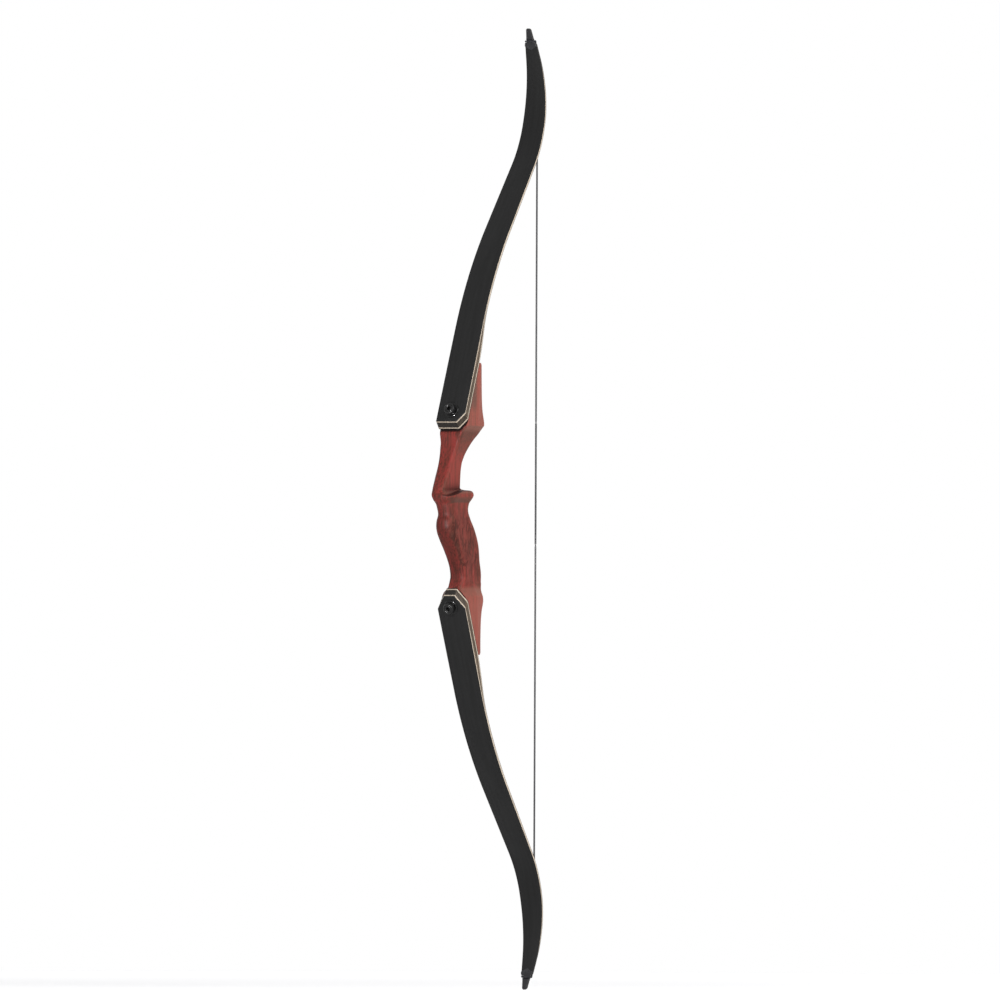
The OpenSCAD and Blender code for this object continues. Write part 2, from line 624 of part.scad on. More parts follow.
module string_loop() {
    centre = [for (i = [0 : loop_rings - 1]) closed_curve(loop_points, i / loop_rings)];
    middle = [0, inside(s_nock - 8, thick(s_nock) / 2)[0], inside(s_nock - 8, thick(s_nock) / 2)[1]];
    rings = [for (i = [0 : loop_rings - 1])
        let (p = centre[i], a = centre[(i + loop_rings - 1) % loop_rings],
             b = centre[(i + 1) % loop_rings], along = (b - a) / norm(b - a),
             out = p - middle, flat = cross(along, out), u = flat / norm(flat), v = cross(u, along))
        [for (k = [0 : loop_sides - 1]) let (t = 360 * k / loop_sides)
            p + serving_r * (cos(t) * u + sin(t) * v)]];
    color(charcoal) polyhedron(points = [for (r = rings) for (p = r) p],
        faces = [for (i = [0 : loop_rings - 1]) for (k = [0 : loop_sides - 1])
            let (i2 = (i + 1) % loop_rings, k2 = (k + 1) % loop_sides)
            each [[i * loop_sides + k, i2 * loop_sides + k, i2 * loop_sides + k2],
                  [i * loop_sides + k, i2 * loop_sides + k2, i * loop_sides + k2]]]);
}

module upper() { children(); }
module lower() { mirror([0, 0, 1]) children(); }

// The upper butt keeps its square corner on the far side, as the lower one has both cut
upper_corners = [[1, corner_x, corner_s]];
lower_corners = [for (side = [-1, 1]) [side, low_corner_x, low_corner_s]];

riser();
upper() insert();  // upper_insert
lower() insert();  // lower_insert
upper() locating_pin();  // upper_locating_pin
lower() locating_pin();  // lower_locating_pin
upper() washer();  // upper_washer
lower() washer();  // lower_washer
upper() limb_bolt();  // upper_limb_bolt
lower() limb_bolt();  // lower_limb_bolt
color(glass) upper() root_layer(0, 1, upper_corners);  // upper_root_back_glass
color(maple) upper() root_layer(1, 2, upper_corners);  // upper_root_back_lamination
color(walnut) upper() root_layer(2, 3, upper_corners);  // upper_wedge
color(maple) upper() root_layer(3, 4, upper_corners);  // upper_root_belly_lamination
color(glass) upper() root_layer(4, 5, upper_corners);  // upper_root_belly_glass
color(glass) lower() root_layer(0, 1, lower_corners);  // lower_root_back_glass
color(maple) lower() root_layer(1, 2, lower_corners);  // lower_root_back_lamination
color(walnut) lower() root_layer(2, 3, lower_corners);  // lower_wedge
color(maple) lower() root_layer(3, 4, lower_corners);  // lower_root_belly_lamination
color(glass) lower() root_layer(4, 5, lower_corners);  // lower_root_belly_glass
color(glass) upper() work_layer(0, 1);  // upper_back_glass
color(maple) upper() work_layer(1, 2);  // upper_back_lamination
color(maple) upper() work_layer(3, 4);  // upper_belly_lamination
color(glass) upper() work_layer(4, 5);  // upper_belly_glass
upper() tip_overlay();  // upper_tip_overlay
color(glass) lower() work_layer(0, 1);  // lower_back_glass
color(maple) lower() work_layer(1, 2);  // lower_back_lamination
color(maple) lower() work_layer(3, 4);  // lower_belly_lamination
color(glass) lower() work_layer(4, 5);  // lower_belly_glass
lower() tip_overlay();  // lower_tip_overlay
upper() string_loop();  // upper_loop
lower() string_loop();  // lower_loop
upper() end_serving(nocking_z);  // upper_end_serving
lower() end_serving(-nocking_z);  // lower_end_serving
upper() string_half(nocking_z);  // upper_string
lower() string_half(-nocking_z);  // lower_string
upper() centre_serving(nocking_z);  // upper_centre_serving
lower() centre_serving(-nocking_z);  // lower_centre_serving
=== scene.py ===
"""Strung takedown recurve bow: its visible surfaces, finishes and studio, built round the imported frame.

Lengths in the shape functions are millimetres, in the frame's axes: +Z up the bow, -Y towards the
target, +X towards the sight window. Meshes are written in metres. The lower limb and its fittings are
the mirror image of the upper ones.
"""

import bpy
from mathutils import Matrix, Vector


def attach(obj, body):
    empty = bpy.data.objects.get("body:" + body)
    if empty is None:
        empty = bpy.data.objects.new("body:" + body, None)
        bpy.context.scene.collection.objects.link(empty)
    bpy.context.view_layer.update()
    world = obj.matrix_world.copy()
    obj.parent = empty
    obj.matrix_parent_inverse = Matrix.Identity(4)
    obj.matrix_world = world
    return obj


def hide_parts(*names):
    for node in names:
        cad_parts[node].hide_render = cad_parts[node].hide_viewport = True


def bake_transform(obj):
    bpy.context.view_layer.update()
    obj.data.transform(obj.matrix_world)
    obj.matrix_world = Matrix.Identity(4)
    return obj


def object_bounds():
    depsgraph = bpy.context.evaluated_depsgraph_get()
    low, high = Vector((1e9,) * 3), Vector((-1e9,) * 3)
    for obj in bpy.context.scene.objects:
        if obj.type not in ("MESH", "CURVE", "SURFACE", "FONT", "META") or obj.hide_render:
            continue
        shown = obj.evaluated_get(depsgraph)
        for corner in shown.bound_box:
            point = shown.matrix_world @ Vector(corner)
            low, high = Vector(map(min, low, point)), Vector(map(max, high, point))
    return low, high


bl_info = {
    "name": "Takedown recurve bow",
    "version": (1, 0, 0),
    "blender": (4, 5, 0),
    "location": "View3D > Sidebar > Bow",
    "description": "Builds a strung takedown recurve bow: riser, laminated limbs, bolts and served string",
    "category": "Object",
}

import math

import bpy
import numpy as np
from bpy.props import FloatProperty, FloatVectorProperty, PointerProperty

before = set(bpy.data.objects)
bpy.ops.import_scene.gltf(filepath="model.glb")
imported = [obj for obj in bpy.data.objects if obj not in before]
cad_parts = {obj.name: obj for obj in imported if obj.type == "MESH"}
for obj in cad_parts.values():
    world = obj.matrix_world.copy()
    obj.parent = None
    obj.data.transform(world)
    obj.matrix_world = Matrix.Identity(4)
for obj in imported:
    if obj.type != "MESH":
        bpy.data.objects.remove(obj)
CAD_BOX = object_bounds()
SIDES = (("upper", 1.0), ("lower", -1.0))

# The limb's path, in sizes that the surfaces share with the frame

BOW_LENGTH = 1450.2
BOLT_Z = 148.0  # where the limb bolt meets the limb's back
BOLT_Y = 34.3
PAD = math.radians(20.5)  # lean of the limb pad
BUTT_RUN = 135.0  # straight, from the bolt to the sweep
SWEEP_RUN = 170.0
SWEEP_ANGLE = math.radians(16)
RECURVE_R = 180.0
RECURVE_ANGLE = math.radians(53)
TIP_RUN = 50.0  # straight, from the recurve to the end

# The limb's widths and layers

LIMB_W = 48.6
RECURVE_W = 37.8
SHOULDER_W = 19.6
TIP_W = 7.4
BUTT_TAPER = 1.6  # powers of the width's two curves
TAIL_TAPER = 1.45
GLASS_T = 0.9
CORE_T = 1.6
CORE_TIP_T = 0.75
WEDGE_T = 7.4
WEDGE_FULL = 78.0  # where the wedge starts to thin out, and where it ends
WEDGE_END = 172.0
BEND_REACH = 84.0  # of the drawn limb's bend, each way from the wedge's end
BUTT_END = 17.0  # how far the butt runs past the bolt
BUTT_BEVEL = 8.6
CORNERS = {"upper": (12.6, 14.6), "lower": (15.0, 20.0)}
NOCK_BACK = 20.0  # from the nock to the tip's end
GROOVE_R = 2.2
HEAD_RUN = 4.5  # from the nock to the rounded head
OVERLAY_T = 1.6
OVERLAY_RUN = 34.0
OVERLAY_V = 11.0

# The riser

FADE_Z = 219.7
RISER_W = LIMB_W - 0.4
THROAT_W = 29.0
SWELL_W = 31.2
NECK_W = 27.2
WINDOW_X = 3.0
SHELF_X = 19.5
SHELF_Z = 28.0
SHELF_R = 1.0
SHELF_RUN = 20.0  # how far towards the target the shelf stays level
SHELF_LEAN = math.radians(12)
FACET_W = 2.5

# Fittings and string

BOLT_D = 8.0
KNOB_D = 17.0
KNOB_H = 8.0
SOCKET_AF = 6.0
SOCKET_DEPTH = 5.0
WASHER_D = 23.5
WASHER_T = 2.0
THREAD_RUN = 16.0
INSERT_D = 13.0
PIN_D = 6.0
PIN_S = 34.0  # from the bolt to the locating pin
PIN_DEEP = 14.0
PIN_PROUD = 6.0
STRING_D = 2.8
STRAND_D = 2.0
SERVING_D = 3.0
NOCKING_Z = 38.0
SERVING_RUN = 182.0
END_SERVING_RUN = 120.0
STRING_GAP = 0.3
FIT_GAP = 0.3
THREAD_STEPS = 5  # sections in one turn of the serving thread
SLEEVE_SIDES = 16
SLEEVE_ROUND = 9.4  # length once round a serving, for its UV map
CORD_SIDES = 42
CORD_ROUND = 8.8

# The studio

FLOOR_R = 2600.0
CAMERA_LENS = 1500.0
CAMERA_SENSOR = 36.0

# Values that follow from the sizes. S_ names a length along the limb, from the bolt.

MIDDLE = PAD + SWEEP_ANGLE
TIP = MIDDLE - RECURVE_ANGLE
SWEEP_R = SWEEP_RUN / SWEEP_ANGLE
MIDDLE_RUN = (
    BOW_LENGTH / 2 - BOLT_Z - BUTT_RUN * math.cos(PAD) - SWEEP_R * (math.sin(MIDDLE) - math.sin(PAD))
    - RECURVE_R * (math.sin(MIDDLE) - math.sin(TIP)) - TIP_RUN * math.cos(TIP)
) / math.cos(MIDDLE)
S_SWEEP = BUTT_RUN
S_MIDDLE = S_SWEEP + SWEEP_RUN
S_RECURVE = S_MIDDLE + MIDDLE_RUN
S_TIP = S_RECURVE + RECURVE_R * RECURVE_ANGLE
S_END = S_TIP + TIP_RUN
S_CROWN = S_RECURVE + RECURVE_R * MIDDLE
S_NOCK = S_END - NOCK_BACK
S_SHOULDER = S_NOCK - 5.5  # where the limb steps in to its head
S_NARROW = S_SHOULDER - 120.0  # where its width starts to draw in
S_NECK = S_NOCK - 26.0  # the foot of the loop
S_STRING = S_NECK - SERVING_D - FIT_GAP  # the end of the string, below the loop
HEAD_W = 0.54 * SHOULDER_W
GROOVE_X = HEAD_W / 2 + GROOVE_R - 0.9
BUTT_T = 2 * GLASS_T + 2 * CORE_T + WEDGE_T


# Curves


def ease(t):
    """Smooth step from 0 to 1: t squared times (3 - 2t), with t held between 0 and 1."""
    u = np.clip(t, 0, 1)
    return u * u * (3 - 2 * u)


def smooth(table, z):
    """Curve through rows of (z, value): cubic Hermite, each slope the harmonic mean of the chords beside it.
    The slope is level at the ends and where the chords change sign, so the curve never overshoots."""
    zs, vs = np.array(table, float).T
    chord = np.diff(vs) / np.diff(zs)
    a, b = chord[:-1], chord[1:]
    same = a * b > 0
    slope = np.zeros(len(vs))
    slope[1:-1] = np.where(same, 2 * a * b / np.where(same, a + b, 1), 0)
    i = np.clip(np.searchsorted(zs, z, side="right") - 1, 0, len(zs) - 2)
    run = zs[i + 1] - zs[i]
    t = np.clip((z - zs[i]) / run, 0, 1)
    return (
        vs[i] * (1 + 2 * t) * (1 - t) ** 2
        + slope[i] * run * t * (1 - t) ** 2
        + vs[i + 1] * t * t * (3 - 2 * t)
        - slope[i + 1] * run * t * t * (1 - t)
    )


def closed_curve(points, u):
    """Closed Catmull-Rom curve through points, u from 0 to 1 once round."""
    n = len(points)
    i = np.floor(u * n).astype(int) % n
    t = (u * n - np.floor(u * n))[:, None]
    a, b, c, d = (points[(i + k) % n] for k in (-1, 0, 1, 2))
    return 0.5 * (2 * b + (c - a) * t + (2 * a - 5 * b + 4 * c - d) * t**2 + (3 * b - a - 3 * c + d) * t**3)


def even_steps(path, step, closed=False):
    """Points at equal steps along a polyline, by linear interpolation of its running length."""
    if closed:
        path = np.vstack([path, path[:1]])
    run = np.concatenate([[0], np.cumsum(np.linalg.norm(np.diff(path, axis=0), axis=1))])
    count = max(3, int(round(run[-1] / step)))
    at = np.linspace(0, run[-1], count + 1)
    out = np.stack([np.interp(at, run, path[:, k]) for k in range(path.shape[1])], 1)
    return (out[:-1], at[:-1]) if closed else (out, at)


# Limb path and lay-up


def heading(s):
    """Lean of the limb's back from vertical at arc length s: even on the straights, linear on the bends."""
    return np.interp(s, [S_SWEEP, S_MIDDLE, S_RECURVE, S_TIP], [PAD, MIDDLE, MIDDLE, TIP])


def straight(p, angle, run):
    """Point that lies run further along a line of that heading."""
    return np.stack([p[0] + run * np.sin(angle), p[1] + run * np.cos(angle)], -1)


def arc(p, a, b, r):
    """Point on a circle of radius r, where the heading has turned from a to b since point p."""
    return np.stack([p[0] + r * (np.cos(a) - np.cos(b)), p[1] + r * (np.sin(b) - np.sin(a))], -1)


P_BOLT = np.array([-BOLT_Y, BOLT_Z])
P_SWEEP = straight(P_BOLT, PAD, BUTT_RUN)
P_MIDDLE = arc(P_SWEEP, PAD, MIDDLE, SWEEP_R)
P_RECURVE = straight(P_MIDDLE, MIDDLE, MIDDLE_RUN)
P_TIP = arc(P_RECURVE, MIDDLE, TIP, -RECURVE_R)


def back(s):
    """(y, z) of the limb's back at s: butt, sweep arc, middle, recurve arc and tip."""
    s = np.asarray(s, float)
    h, at = heading(s), s[..., None]
    return np.select(
        [at < S_SWEEP, at < S_MIDDLE, at < S_RECURVE, at < S_TIP],
        [straight(P_BOLT, PAD, s), arc(P_SWEEP, PAD, h, SWEEP_R),
         straight(P_MIDDLE, MIDDLE, s - S_MIDDLE), arc(P_RECURVE, MIDDLE, h, -RECURVE_R)],
        straight(P_TIP, TIP, s - S_TIP),
    )


def inside(s, deep):
    """(y, z) at depth deep below the back, measured square to it towards the archer."""
    h = heading(s)
    return back(s) + np.stack([deep * np.cos(h), -deep * np.sin(h)], -1)


def core(s):
    """Thickness of each pale lamination: even over the wedge, then eased down to the tip."""
    return CORE_T + (CORE_TIP_T - CORE_T) * ease((s - WEDGE_END) / (S_END - WEDGE_END))


def joint_depth(k, s):
    """Depth of joint k of the stack, from 0 at the back to 5 at the belly."""
    wedge = WEDGE_T * (1 - ease((s - WEDGE_FULL) / (WEDGE_END - WEDGE_FULL)))
    steps = [0 * s, GLASS_T + 0 * s, core(s), wedge, core(s), GLASS_T + 0 * s]
    return sum(steps[: k + 1])


def thick(s):
    """Whole thickness of the limb at s."""
    return joint_depth(5, np.asarray(s, float))


def half_width(z):
    """Half width of the limb at height z: power curves to the shoulder, the round head and the nocks."""
    s = np.concatenate([np.arange(-40, S_NARROW, 2.0), np.linspace(S_NARROW, S_SHOULDER, 80)])
    along = np.maximum(0, s + BUTT_END) / (S_NARROW + BUTT_END)
    wide = LIMB_W - (LIMB_W - RECURVE_W) * along**BUTT_TAPER
    tail = np.clip((s - S_NARROW) / (S_SHOULDER - S_NARROW), 0, 1)
    wide = np.where(s < S_NARROW, wide, RECURVE_W - (RECURVE_W - SHOULDER_W) * tail**TAIL_TAPER) / 2
    a = np.radians(np.arange(0, 91, 3))
    head = back(S_END - TIP_W / 2 * (1 - np.sin(a)))[:, 1]
    zs = np.concatenate([back(s)[:, 1], [back(S_NOCK + HEAD_RUN)[1]], head])
    ws = np.concatenate([wide, [HEAD_W / 2], TIP_W / 2 * np.cos(a)])
    w = np.interp(z, zs, ws)
    dz = z - back(S_NOCK)[1]
    groove = GROOVE_X - np.sqrt(np.maximum(0, GROOVE_R**2 - dz**2))
    return np.where(np.abs(dz) < GROOVE_R, np.minimum(w, groove), w)


# Mesh making


def grid_solid(name, points, uv=None, cap_uv=None, wrap_rows=False, crease=30.0, flip=1.0):
    """Closed mesh from a grid of points in millimetres: rows along the piece, columns round it.
    The columns always join up. The rows join up too when wrap_rows, or else each end gets a flat cap.
    flip -1 mirrors it in z. Faces are turned outwards by the sign of the enclosed volume."""
    rows, cols = points.shape[:2]
    p = points.reshape(-1, 3) * np.array([1, 1, flip]) * 0.001
    i = np.arange(rows if wrap_rows else rows - 1)[:, None]
    j = np.arange(cols)[None, :]
    i2, j2 = (i + 1) % rows, (j + 1) % cols
    quads = np.stack([i * cols + j, i * cols + j2, i2 * cols + j2, i2 * cols + j], -1).reshape(-1, 4)
    caps = [] if wrap_rows else [np.arange(cols)[::-1], (rows - 1) * cols + np.arange(cols)]
    a, b, c, d = (p[quads[:, k]] for k in range(4))
    volume = np.sum(np.cross(a, b) * c) + np.sum(np.cross(a, c) * d)
    for cap in caps:
        q = p[cap]
        volume += np.sum(np.cross(q[1:-1], q[2:]) @ q[0])
    turn = -1 if volume < 0 else 1
    mesh = bpy.data.meshes.new(name)
    mesh.from_pydata(p.tolist(), [], quads[:, ::turn].tolist() + [cap[::turn].tolist() for cap in caps])
    if uv is not None:
        here, ahead = i * (cols + 1) + j, (i + 1) * (cols + 1) + j
        corner = np.stack([here, here + 1, ahead + 1, ahead], -1).reshape(-1, 4)
        flat = uv.reshape(-1, 2)[corner[:, ::turn]].reshape(-1, 2)
        if caps:
            ends = uv[[0, -1], :-1] if cap_uv is None else cap_uv
            flat = np.vstack([flat, ends[0][::-1][::turn], ends[1][::turn]])
        mesh.uv_layers.new(name="UVMap").data.foreach_set("uv", flat.astype(np.float32).ravel())
    mesh.validate()
    mesh.shade_smooth()
    mesh.set_sharp_from_angle(angle=math.radians(crease))
    obj = bpy.data.objects.new(name, mesh)
    bpy.context.scene.collection.objects.link(obj)
    return obj


def pad_frame(local):
    """Local points to the frame: their origin is the limb's back at the bolt, their z points to the target
    and their y outboard."""
    turn = math.pi / 2 - PAD
    y = local[..., 1] * math.cos(turn) - local[..., 2] * math.sin(turn) - BOLT_Y
    z = local[..., 1] * math.sin(turn) + local[..., 2] * math.cos(turn) + BOLT_Z
    return np.stack([local[..., 0], y, z], -1)


def turned(profile, count=96, centre=(0.0, 0.0), hexagon=()):
    """Surface of revolution of (radius, height) rows. Rows named in hexagon follow a hexagon of that inner
    radius: the radius over the cosine of the angle from the nearest flat."""
    r, h = np.array(profile, float).T
    t = np.arange(count) * 2 * np.pi / count
    radius = np.repeat(r[:, None], count, 1)
    flat = 1 / np.cos((t % (np.pi / 3)) - np.pi / 6)
    for row in hexagon:
        radius[row] = r[row] * flat
    x = centre[0] + radius * np.cos(t)
    y = centre[1] + radius * np.sin(t)
    return np.stack([x, y, np.repeat(h[:, None], count, 1)], -1)


def tube(path, radius, sides, across=None):
    """Points of a tube round a path in the plane x = 0: radius(angle) away from each point, square to it.
    A path in space comes with its own across and along vectors."""
    if path.shape[1] == 2:
        path = np.column_stack([np.zeros(len(path)), path])
    along = np.gradient(path, axis=0) if across is None else across[1]
    along /= np.linalg.norm(along, axis=1, keepdims=True)
    u = np.tile([1.0, 0, 0], (len(path), 1)) if across is None else across[0]
    v = np.cross(along, u)
    t = (np.arange(sides) + 0.5) * 2 * np.pi / sides
    r = radius(t[None, :])
    out = np.cos(t)[None, :, None] * u[:, None] + np.sin(t)[None, :, None] * v[:, None]
    return path[:, None] + r[..., None] * out


def tube_uv(at, sides, circumference):
    """UV of a tube: the running length and the way round, both in metres."""
    v = np.arange(sides + 1) / sides * circumference
    return np.stack(np.broadcast_arrays(at[:, None], v[None, :]), -1) * 0.001


def cut(obj, cutters, crease=30.0):
    """Takes closed cutters away from obj one after another, and deletes them."""
    for cutter in cutters:
        step = obj.modifiers.new("cut", "BOOLEAN")
        step.operation, step.solver, step.object = "DIFFERENCE", "MANIFOLD", cutter
        bpy.context.view_layer.update()
        made = bpy.data.meshes.new_from_object(obj.evaluated_get(bpy.context.evaluated_depsgraph_get()))
        obj.modifiers.clear()
        old, obj.data = obj.data, made
        made.name = old.name
        bpy.data.meshes.remove(old)
        gone = cutter.data
        bpy.data.objects.remove(cutter)
        bpy.data.meshes.remove(gone)
    obj.data.shade_smooth()
    obj.data.set_sharp_from_angle(angle=math.radians(crease))
    return obj


def drill(name, diameter, bottom, top, flip, s=0.0):
    """Cutter for a round hole square to the limb pad, s outboard of the bolt."""
    rod = turned([(diameter / 2, bottom), (diameter / 2, top)], 64, (0.0, s))
    return grid_solid(name, pad_frame(rod), flip=flip)


# Riser

PAD_Y = -BOLT_Y + BUTT_T / math.cos(PAD)


def pad_line(z):
    """y of the limb pad's plane at height z."""
    return PAD_Y + (abs(z) - BOLT_Z) * math.tan(PAD)


FOOT_Y = pad_line(122) - 2
FADE_Y = pad_line(FADE_Z) + 5.8

# Each table is one line of the template: (z, y) from the side, (z, x) from the front, or (z, a radius)

BACK_LINE = [(-FADE_Z, FOOT_Y), (-122, FOOT_Y), (-114, -25.4), (-103, -19.6), (-90, -22.8), (-76, -30),
    (-60, -40.8), (-46, -52), (-34, -59.8), (-26, -61.8), (-18, -61.2), (-9, -58.4), (2, -61), (8, -63),
    (13, -67.2), (19, -68.9), (28, -64), (45, -53), (66, -41.4), (82, -35.4), (90, -33.2), (100, -31.2),
    (106, -31.6), (112.5, -32.3), (118.5, pad_line(118.5) + 1.1), (122, pad_line(122) + 0.6),
    (128, pad_line(128) - 2), (FADE_Z, -36)]
BELLY_LINE = [(-FADE_Z, FADE_Y), (-FADE_Z + 3, FADE_Y + 1.6), (-204, 13.6), (-174, 16.6), (-156, 19.8),
    (-142, 24), (-138, 24.9), (-132, 24.2), (-126, 24.8), (-120, 27.6), (-112, 31.6), (-98, 34.5),
    (-78, 30.5), (-60, 27.5), (-44, 22.5), (-30, 15.5), (-16, 6), (0, 0), (10, 0.8), (20, 3),
    (SHELF_Z - 1.5, 3), (SHELF_Z, 1), (SHELF_Z + 1.2, -7), (SHELF_Z + 4, -10.8), (54, -9.8), (67, -7),
    (79, -2.6), (91, 3), (103, 10.5), (115, 20.5), (121, 24), (127, 25.5), (131, 25), (139, 22.6),
    (150, 19.9), (173, 17), (205, 13.8), (FADE_Z - 3, FADE_Y + 1.6), (FADE_Z, FADE_Y)]
SIDE_LOW = [(-FADE_Z, RISER_W), (-146, RISER_W / 2 + 7), (-134, RISER_W / 2 + 1), (-126, RISER_W / 2 - 2.5),
    (-120, NECK_W / 2 + 4.1), (-114, NECK_W / 2 + 1.7), (-108, NECK_W / 2 + 0.4), (-98, NECK_W / 2),
    (-84, NECK_W / 2 + 0.4), (-66, SWELL_W / 2 - 0.6), (-50, SWELL_W / 2), (-24, SWELL_W / 2),
    (-6, THROAT_W / 2)]
RIGHT_LINE = SIDE_LOW + [(4, THROAT_W / 2 + 0.3), (8, SHELF_X - 4.6), (13, SHELF_X - 2.4),
    (16.5, SHELF_X - 0.8), (20, SHELF_X), (SHELF_Z - 5, SHELF_X - 0.6), (SHELF_Z - 2.5, SHELF_X - 2.4),
    (SHELF_Z - 1.2, SHELF_X - 4.5), (SHELF_Z - 0.4, SHELF_X - 8), (SHELF_Z + 0.3, WINDOW_X + SHELF_R),
    (SHELF_Z + SHELF_R + 0.6, WINDOW_X), (67, WINDOW_X), (79, WINDOW_X + 1.6), (91, WINDOW_X + 5),
    (103, WINDOW_X + 9.1), (115, WINDOW_X + 14.5), (121, WINDOW_X + 18.2), (127, WINDOW_X + 22.5),
    (FADE_Z, RISER_W)]
LEFT_LINE = SIDE_LOW + [(4, THROAT_W / 2 + 0.4), (12, THROAT_W / 2 + 2), (20, THROAT_W / 2 + 4),
    (32, THROAT_W / 2 + 6), (50, RISER_W / 2 - 1.6), (90, RISER_W / 2), (FADE_Z, RISER_W)]
FLARE_LINE = [(-FADE_Z, 0), (-144, 0), (-138, 1.5), (-132, 4), (-126, 5), (-120, 5), (-114, 2), (-106, 0),
    (FADE_Z, 0)]
BACK_R_LOW = [(-FADE_Z, 3), (-134, 4), (-126, 6.5), (-120, 10), (-112, 8), (-104, 7), (-84, 9.5), (-50, 12),
    (-10, 13.5)]
BACK_LEFT_R = BACK_R_LOW + [(10, 12), (30, 10), (70, 8.5), (100, 6), (118, 4), (FADE_Z, 3)]
BACK_RIGHT_R = BACK_R_LOW + [(12, 16), (SHELF_Z - 2, 17), (SHELF_Z - 0.4, 16), (SHELF_Z + 0.3, 12),
    (SHELF_Z + 4, 9), (50, 6), (70, 5), (100, 5.5), (118, 4), (FADE_Z, 3)]
BELLY_R = [(-FADE_Z, 2), (-140, 3), (-126, 4), (-108, 7), (-84, 9.5), (-50, 12), (-24, 14), (0, 14.2),
    (12, 10), (22, 7), (40, 5.5), (100, 4.5), (118, 4), (127, 3), (FADE_Z, 2)]
KNEE_LINE = [(-FADE_Z, 8), (-127, 1), (-108, 5), (-60, -6), (0, -28), (30, -30), (60, -28), (100, -10),
    (127, 1), (FADE_Z, 8)]
BEVEL_LINE = [(-FADE_Z, 0.3), (-150, FACET_W), (-128, FACET_W), (-112, 0), (108, 0), (127, FACET_W),
    (150, FACET_W), (FADE_Z, 0.3)]


def riser_points(corner=14, side=6):
    """Rings of the riser at rising heights: four quarter circles of their own radii, joined by straight
    sides. Each side breaks once, at the knee line, and the template tables place every ring."""
    end_steps = np.array([0, 0.4, 1.0, 1.8, 2.8, 4.0])
    z = np.concatenate([
        -FADE_Z + end_steps, np.arange(-214, SHELF_Z - 8, 1.4),
        np.arange(SHELF_Z - 8, SHELF_Z - 3, 0.5), np.arange(SHELF_Z - 3, SHELF_Z + 3, 0.12),
        np.arange(SHELF_Z + 3, SHELF_Z + 9, 0.6), np.arange(SHELF_Z + 9, 215, 1.4),
        FADE_Z - end_steps[::-1],
    ])
    x0 = -np.minimum(smooth(LEFT_LINE, z), RISER_W / 2)
    x1 = np.minimum(smooth(RIGHT_LINE, z), RISER_W / 2)
    y0, y1 = smooth(BACK_LINE, z), smooth(BELLY_LINE, z)
    flare, draw_in = smooth(FLARE_LINE, z), smooth(BEVEL_LINE, z)
    half = (x1 - x0) / 2 - flare - 0.2
    rl = np.minimum(smooth(BACK_LEFT_R, z), half)
    rr = np.minimum(smooth(BACK_RIGHT_R, z), half + 4)
    rb = np.minimum(smooth(BELLY_R, z), half - draw_in)
    knee = np.minimum(np.maximum(smooth(KNEE_LINE, z), y0 + np.maximum(rl, rr) + 0.5), y1 - rb - 0.3)
    q = np.linspace(0, np.pi / 2, corner)

    def quarter(cx, cy, r, start):
        x = cx[:, None] + r[:, None] * np.cos(q + start)
        y = cy[:, None] + r[:, None] * np.sin(q + start)
        return np.stack([x, y], -1)

    def line(a, b):
        t = np.linspace(0, 1, side + 2)[None, 1:-1, None]
        return a[:, None] * (1 - t) + b[:, None] * t

    back_left = quarter(x0 + flare + rl, y0 + rl, rl, np.pi)
    back_right = quarter(x1 - flare - rr, y0 + rr, rr, 1.5 * np.pi)
    belly_right = quarter(x1 - draw_in - rb, y1 - rb, rb, 0)
    belly_left = quarter(x0 + draw_in + rb, y1 - rb, rb, 0.5 * np.pi)
    knee_right, knee_left = np.stack([x1, knee], -1), np.stack([x0, knee], -1)
    ring = np.concatenate([
        back_left, line(back_left[:, -1], back_right[:, 0]),
        back_right, line(back_right[:, -1], knee_right),
        knee_right[:, None], line(knee_right, belly_right[:, 0]),
        belly_right, line(belly_right[:, -1], belly_left[:, 0]),
        belly_left, line(belly_left[:, -1], knee_left),
        knee_left[:, None], line(knee_left, back_left[:, 0]),
    ], 1)
    return np.concatenate([ring, np.broadcast_to(z[:, None, None], ring.shape[:2] + (1,))], -1)


def shelf_cutter():
    """Space over the arrow shelf. Its floor is level near the throat, bends softly and falls towards the
    target. The corner at the window grows by the fall, so that the window ends in a level line."""
    bend = 6.0
    near = np.arange(-SHELF_RUN + bend, -SHELF_RUN - bend - 0.1, -1.0)
    far = np.arange(-SHELF_RUN - 10, -91, -5.0)
    y = np.concatenate([[8.0], near, far])[:, None]
    out = -SHELF_RUN - y
    sunk = np.where(np.abs(out) < bend, (out + bend) ** 2 / (4 * bend), np.maximum(0, out))
    fall = sunk * math.tan(SHELF_LEAN)
    a = np.radians(np.arange(0, 91, 4.5))[None, :]
    r = SHELF_R + fall
    x = np.hstack([r * (1 - np.cos(a)), 40 + 0 * r, 40 + 0 * r, 0 * r])
    z = np.hstack([r * (1 - np.sin(a)) - fall, -fall, 15 + 0 * r, 15 + 0 * r])
    return grid_solid("shelf_cutter", np.stack([x + WINDOW_X, y + 0 * x, z + SHELF_Z], -1))


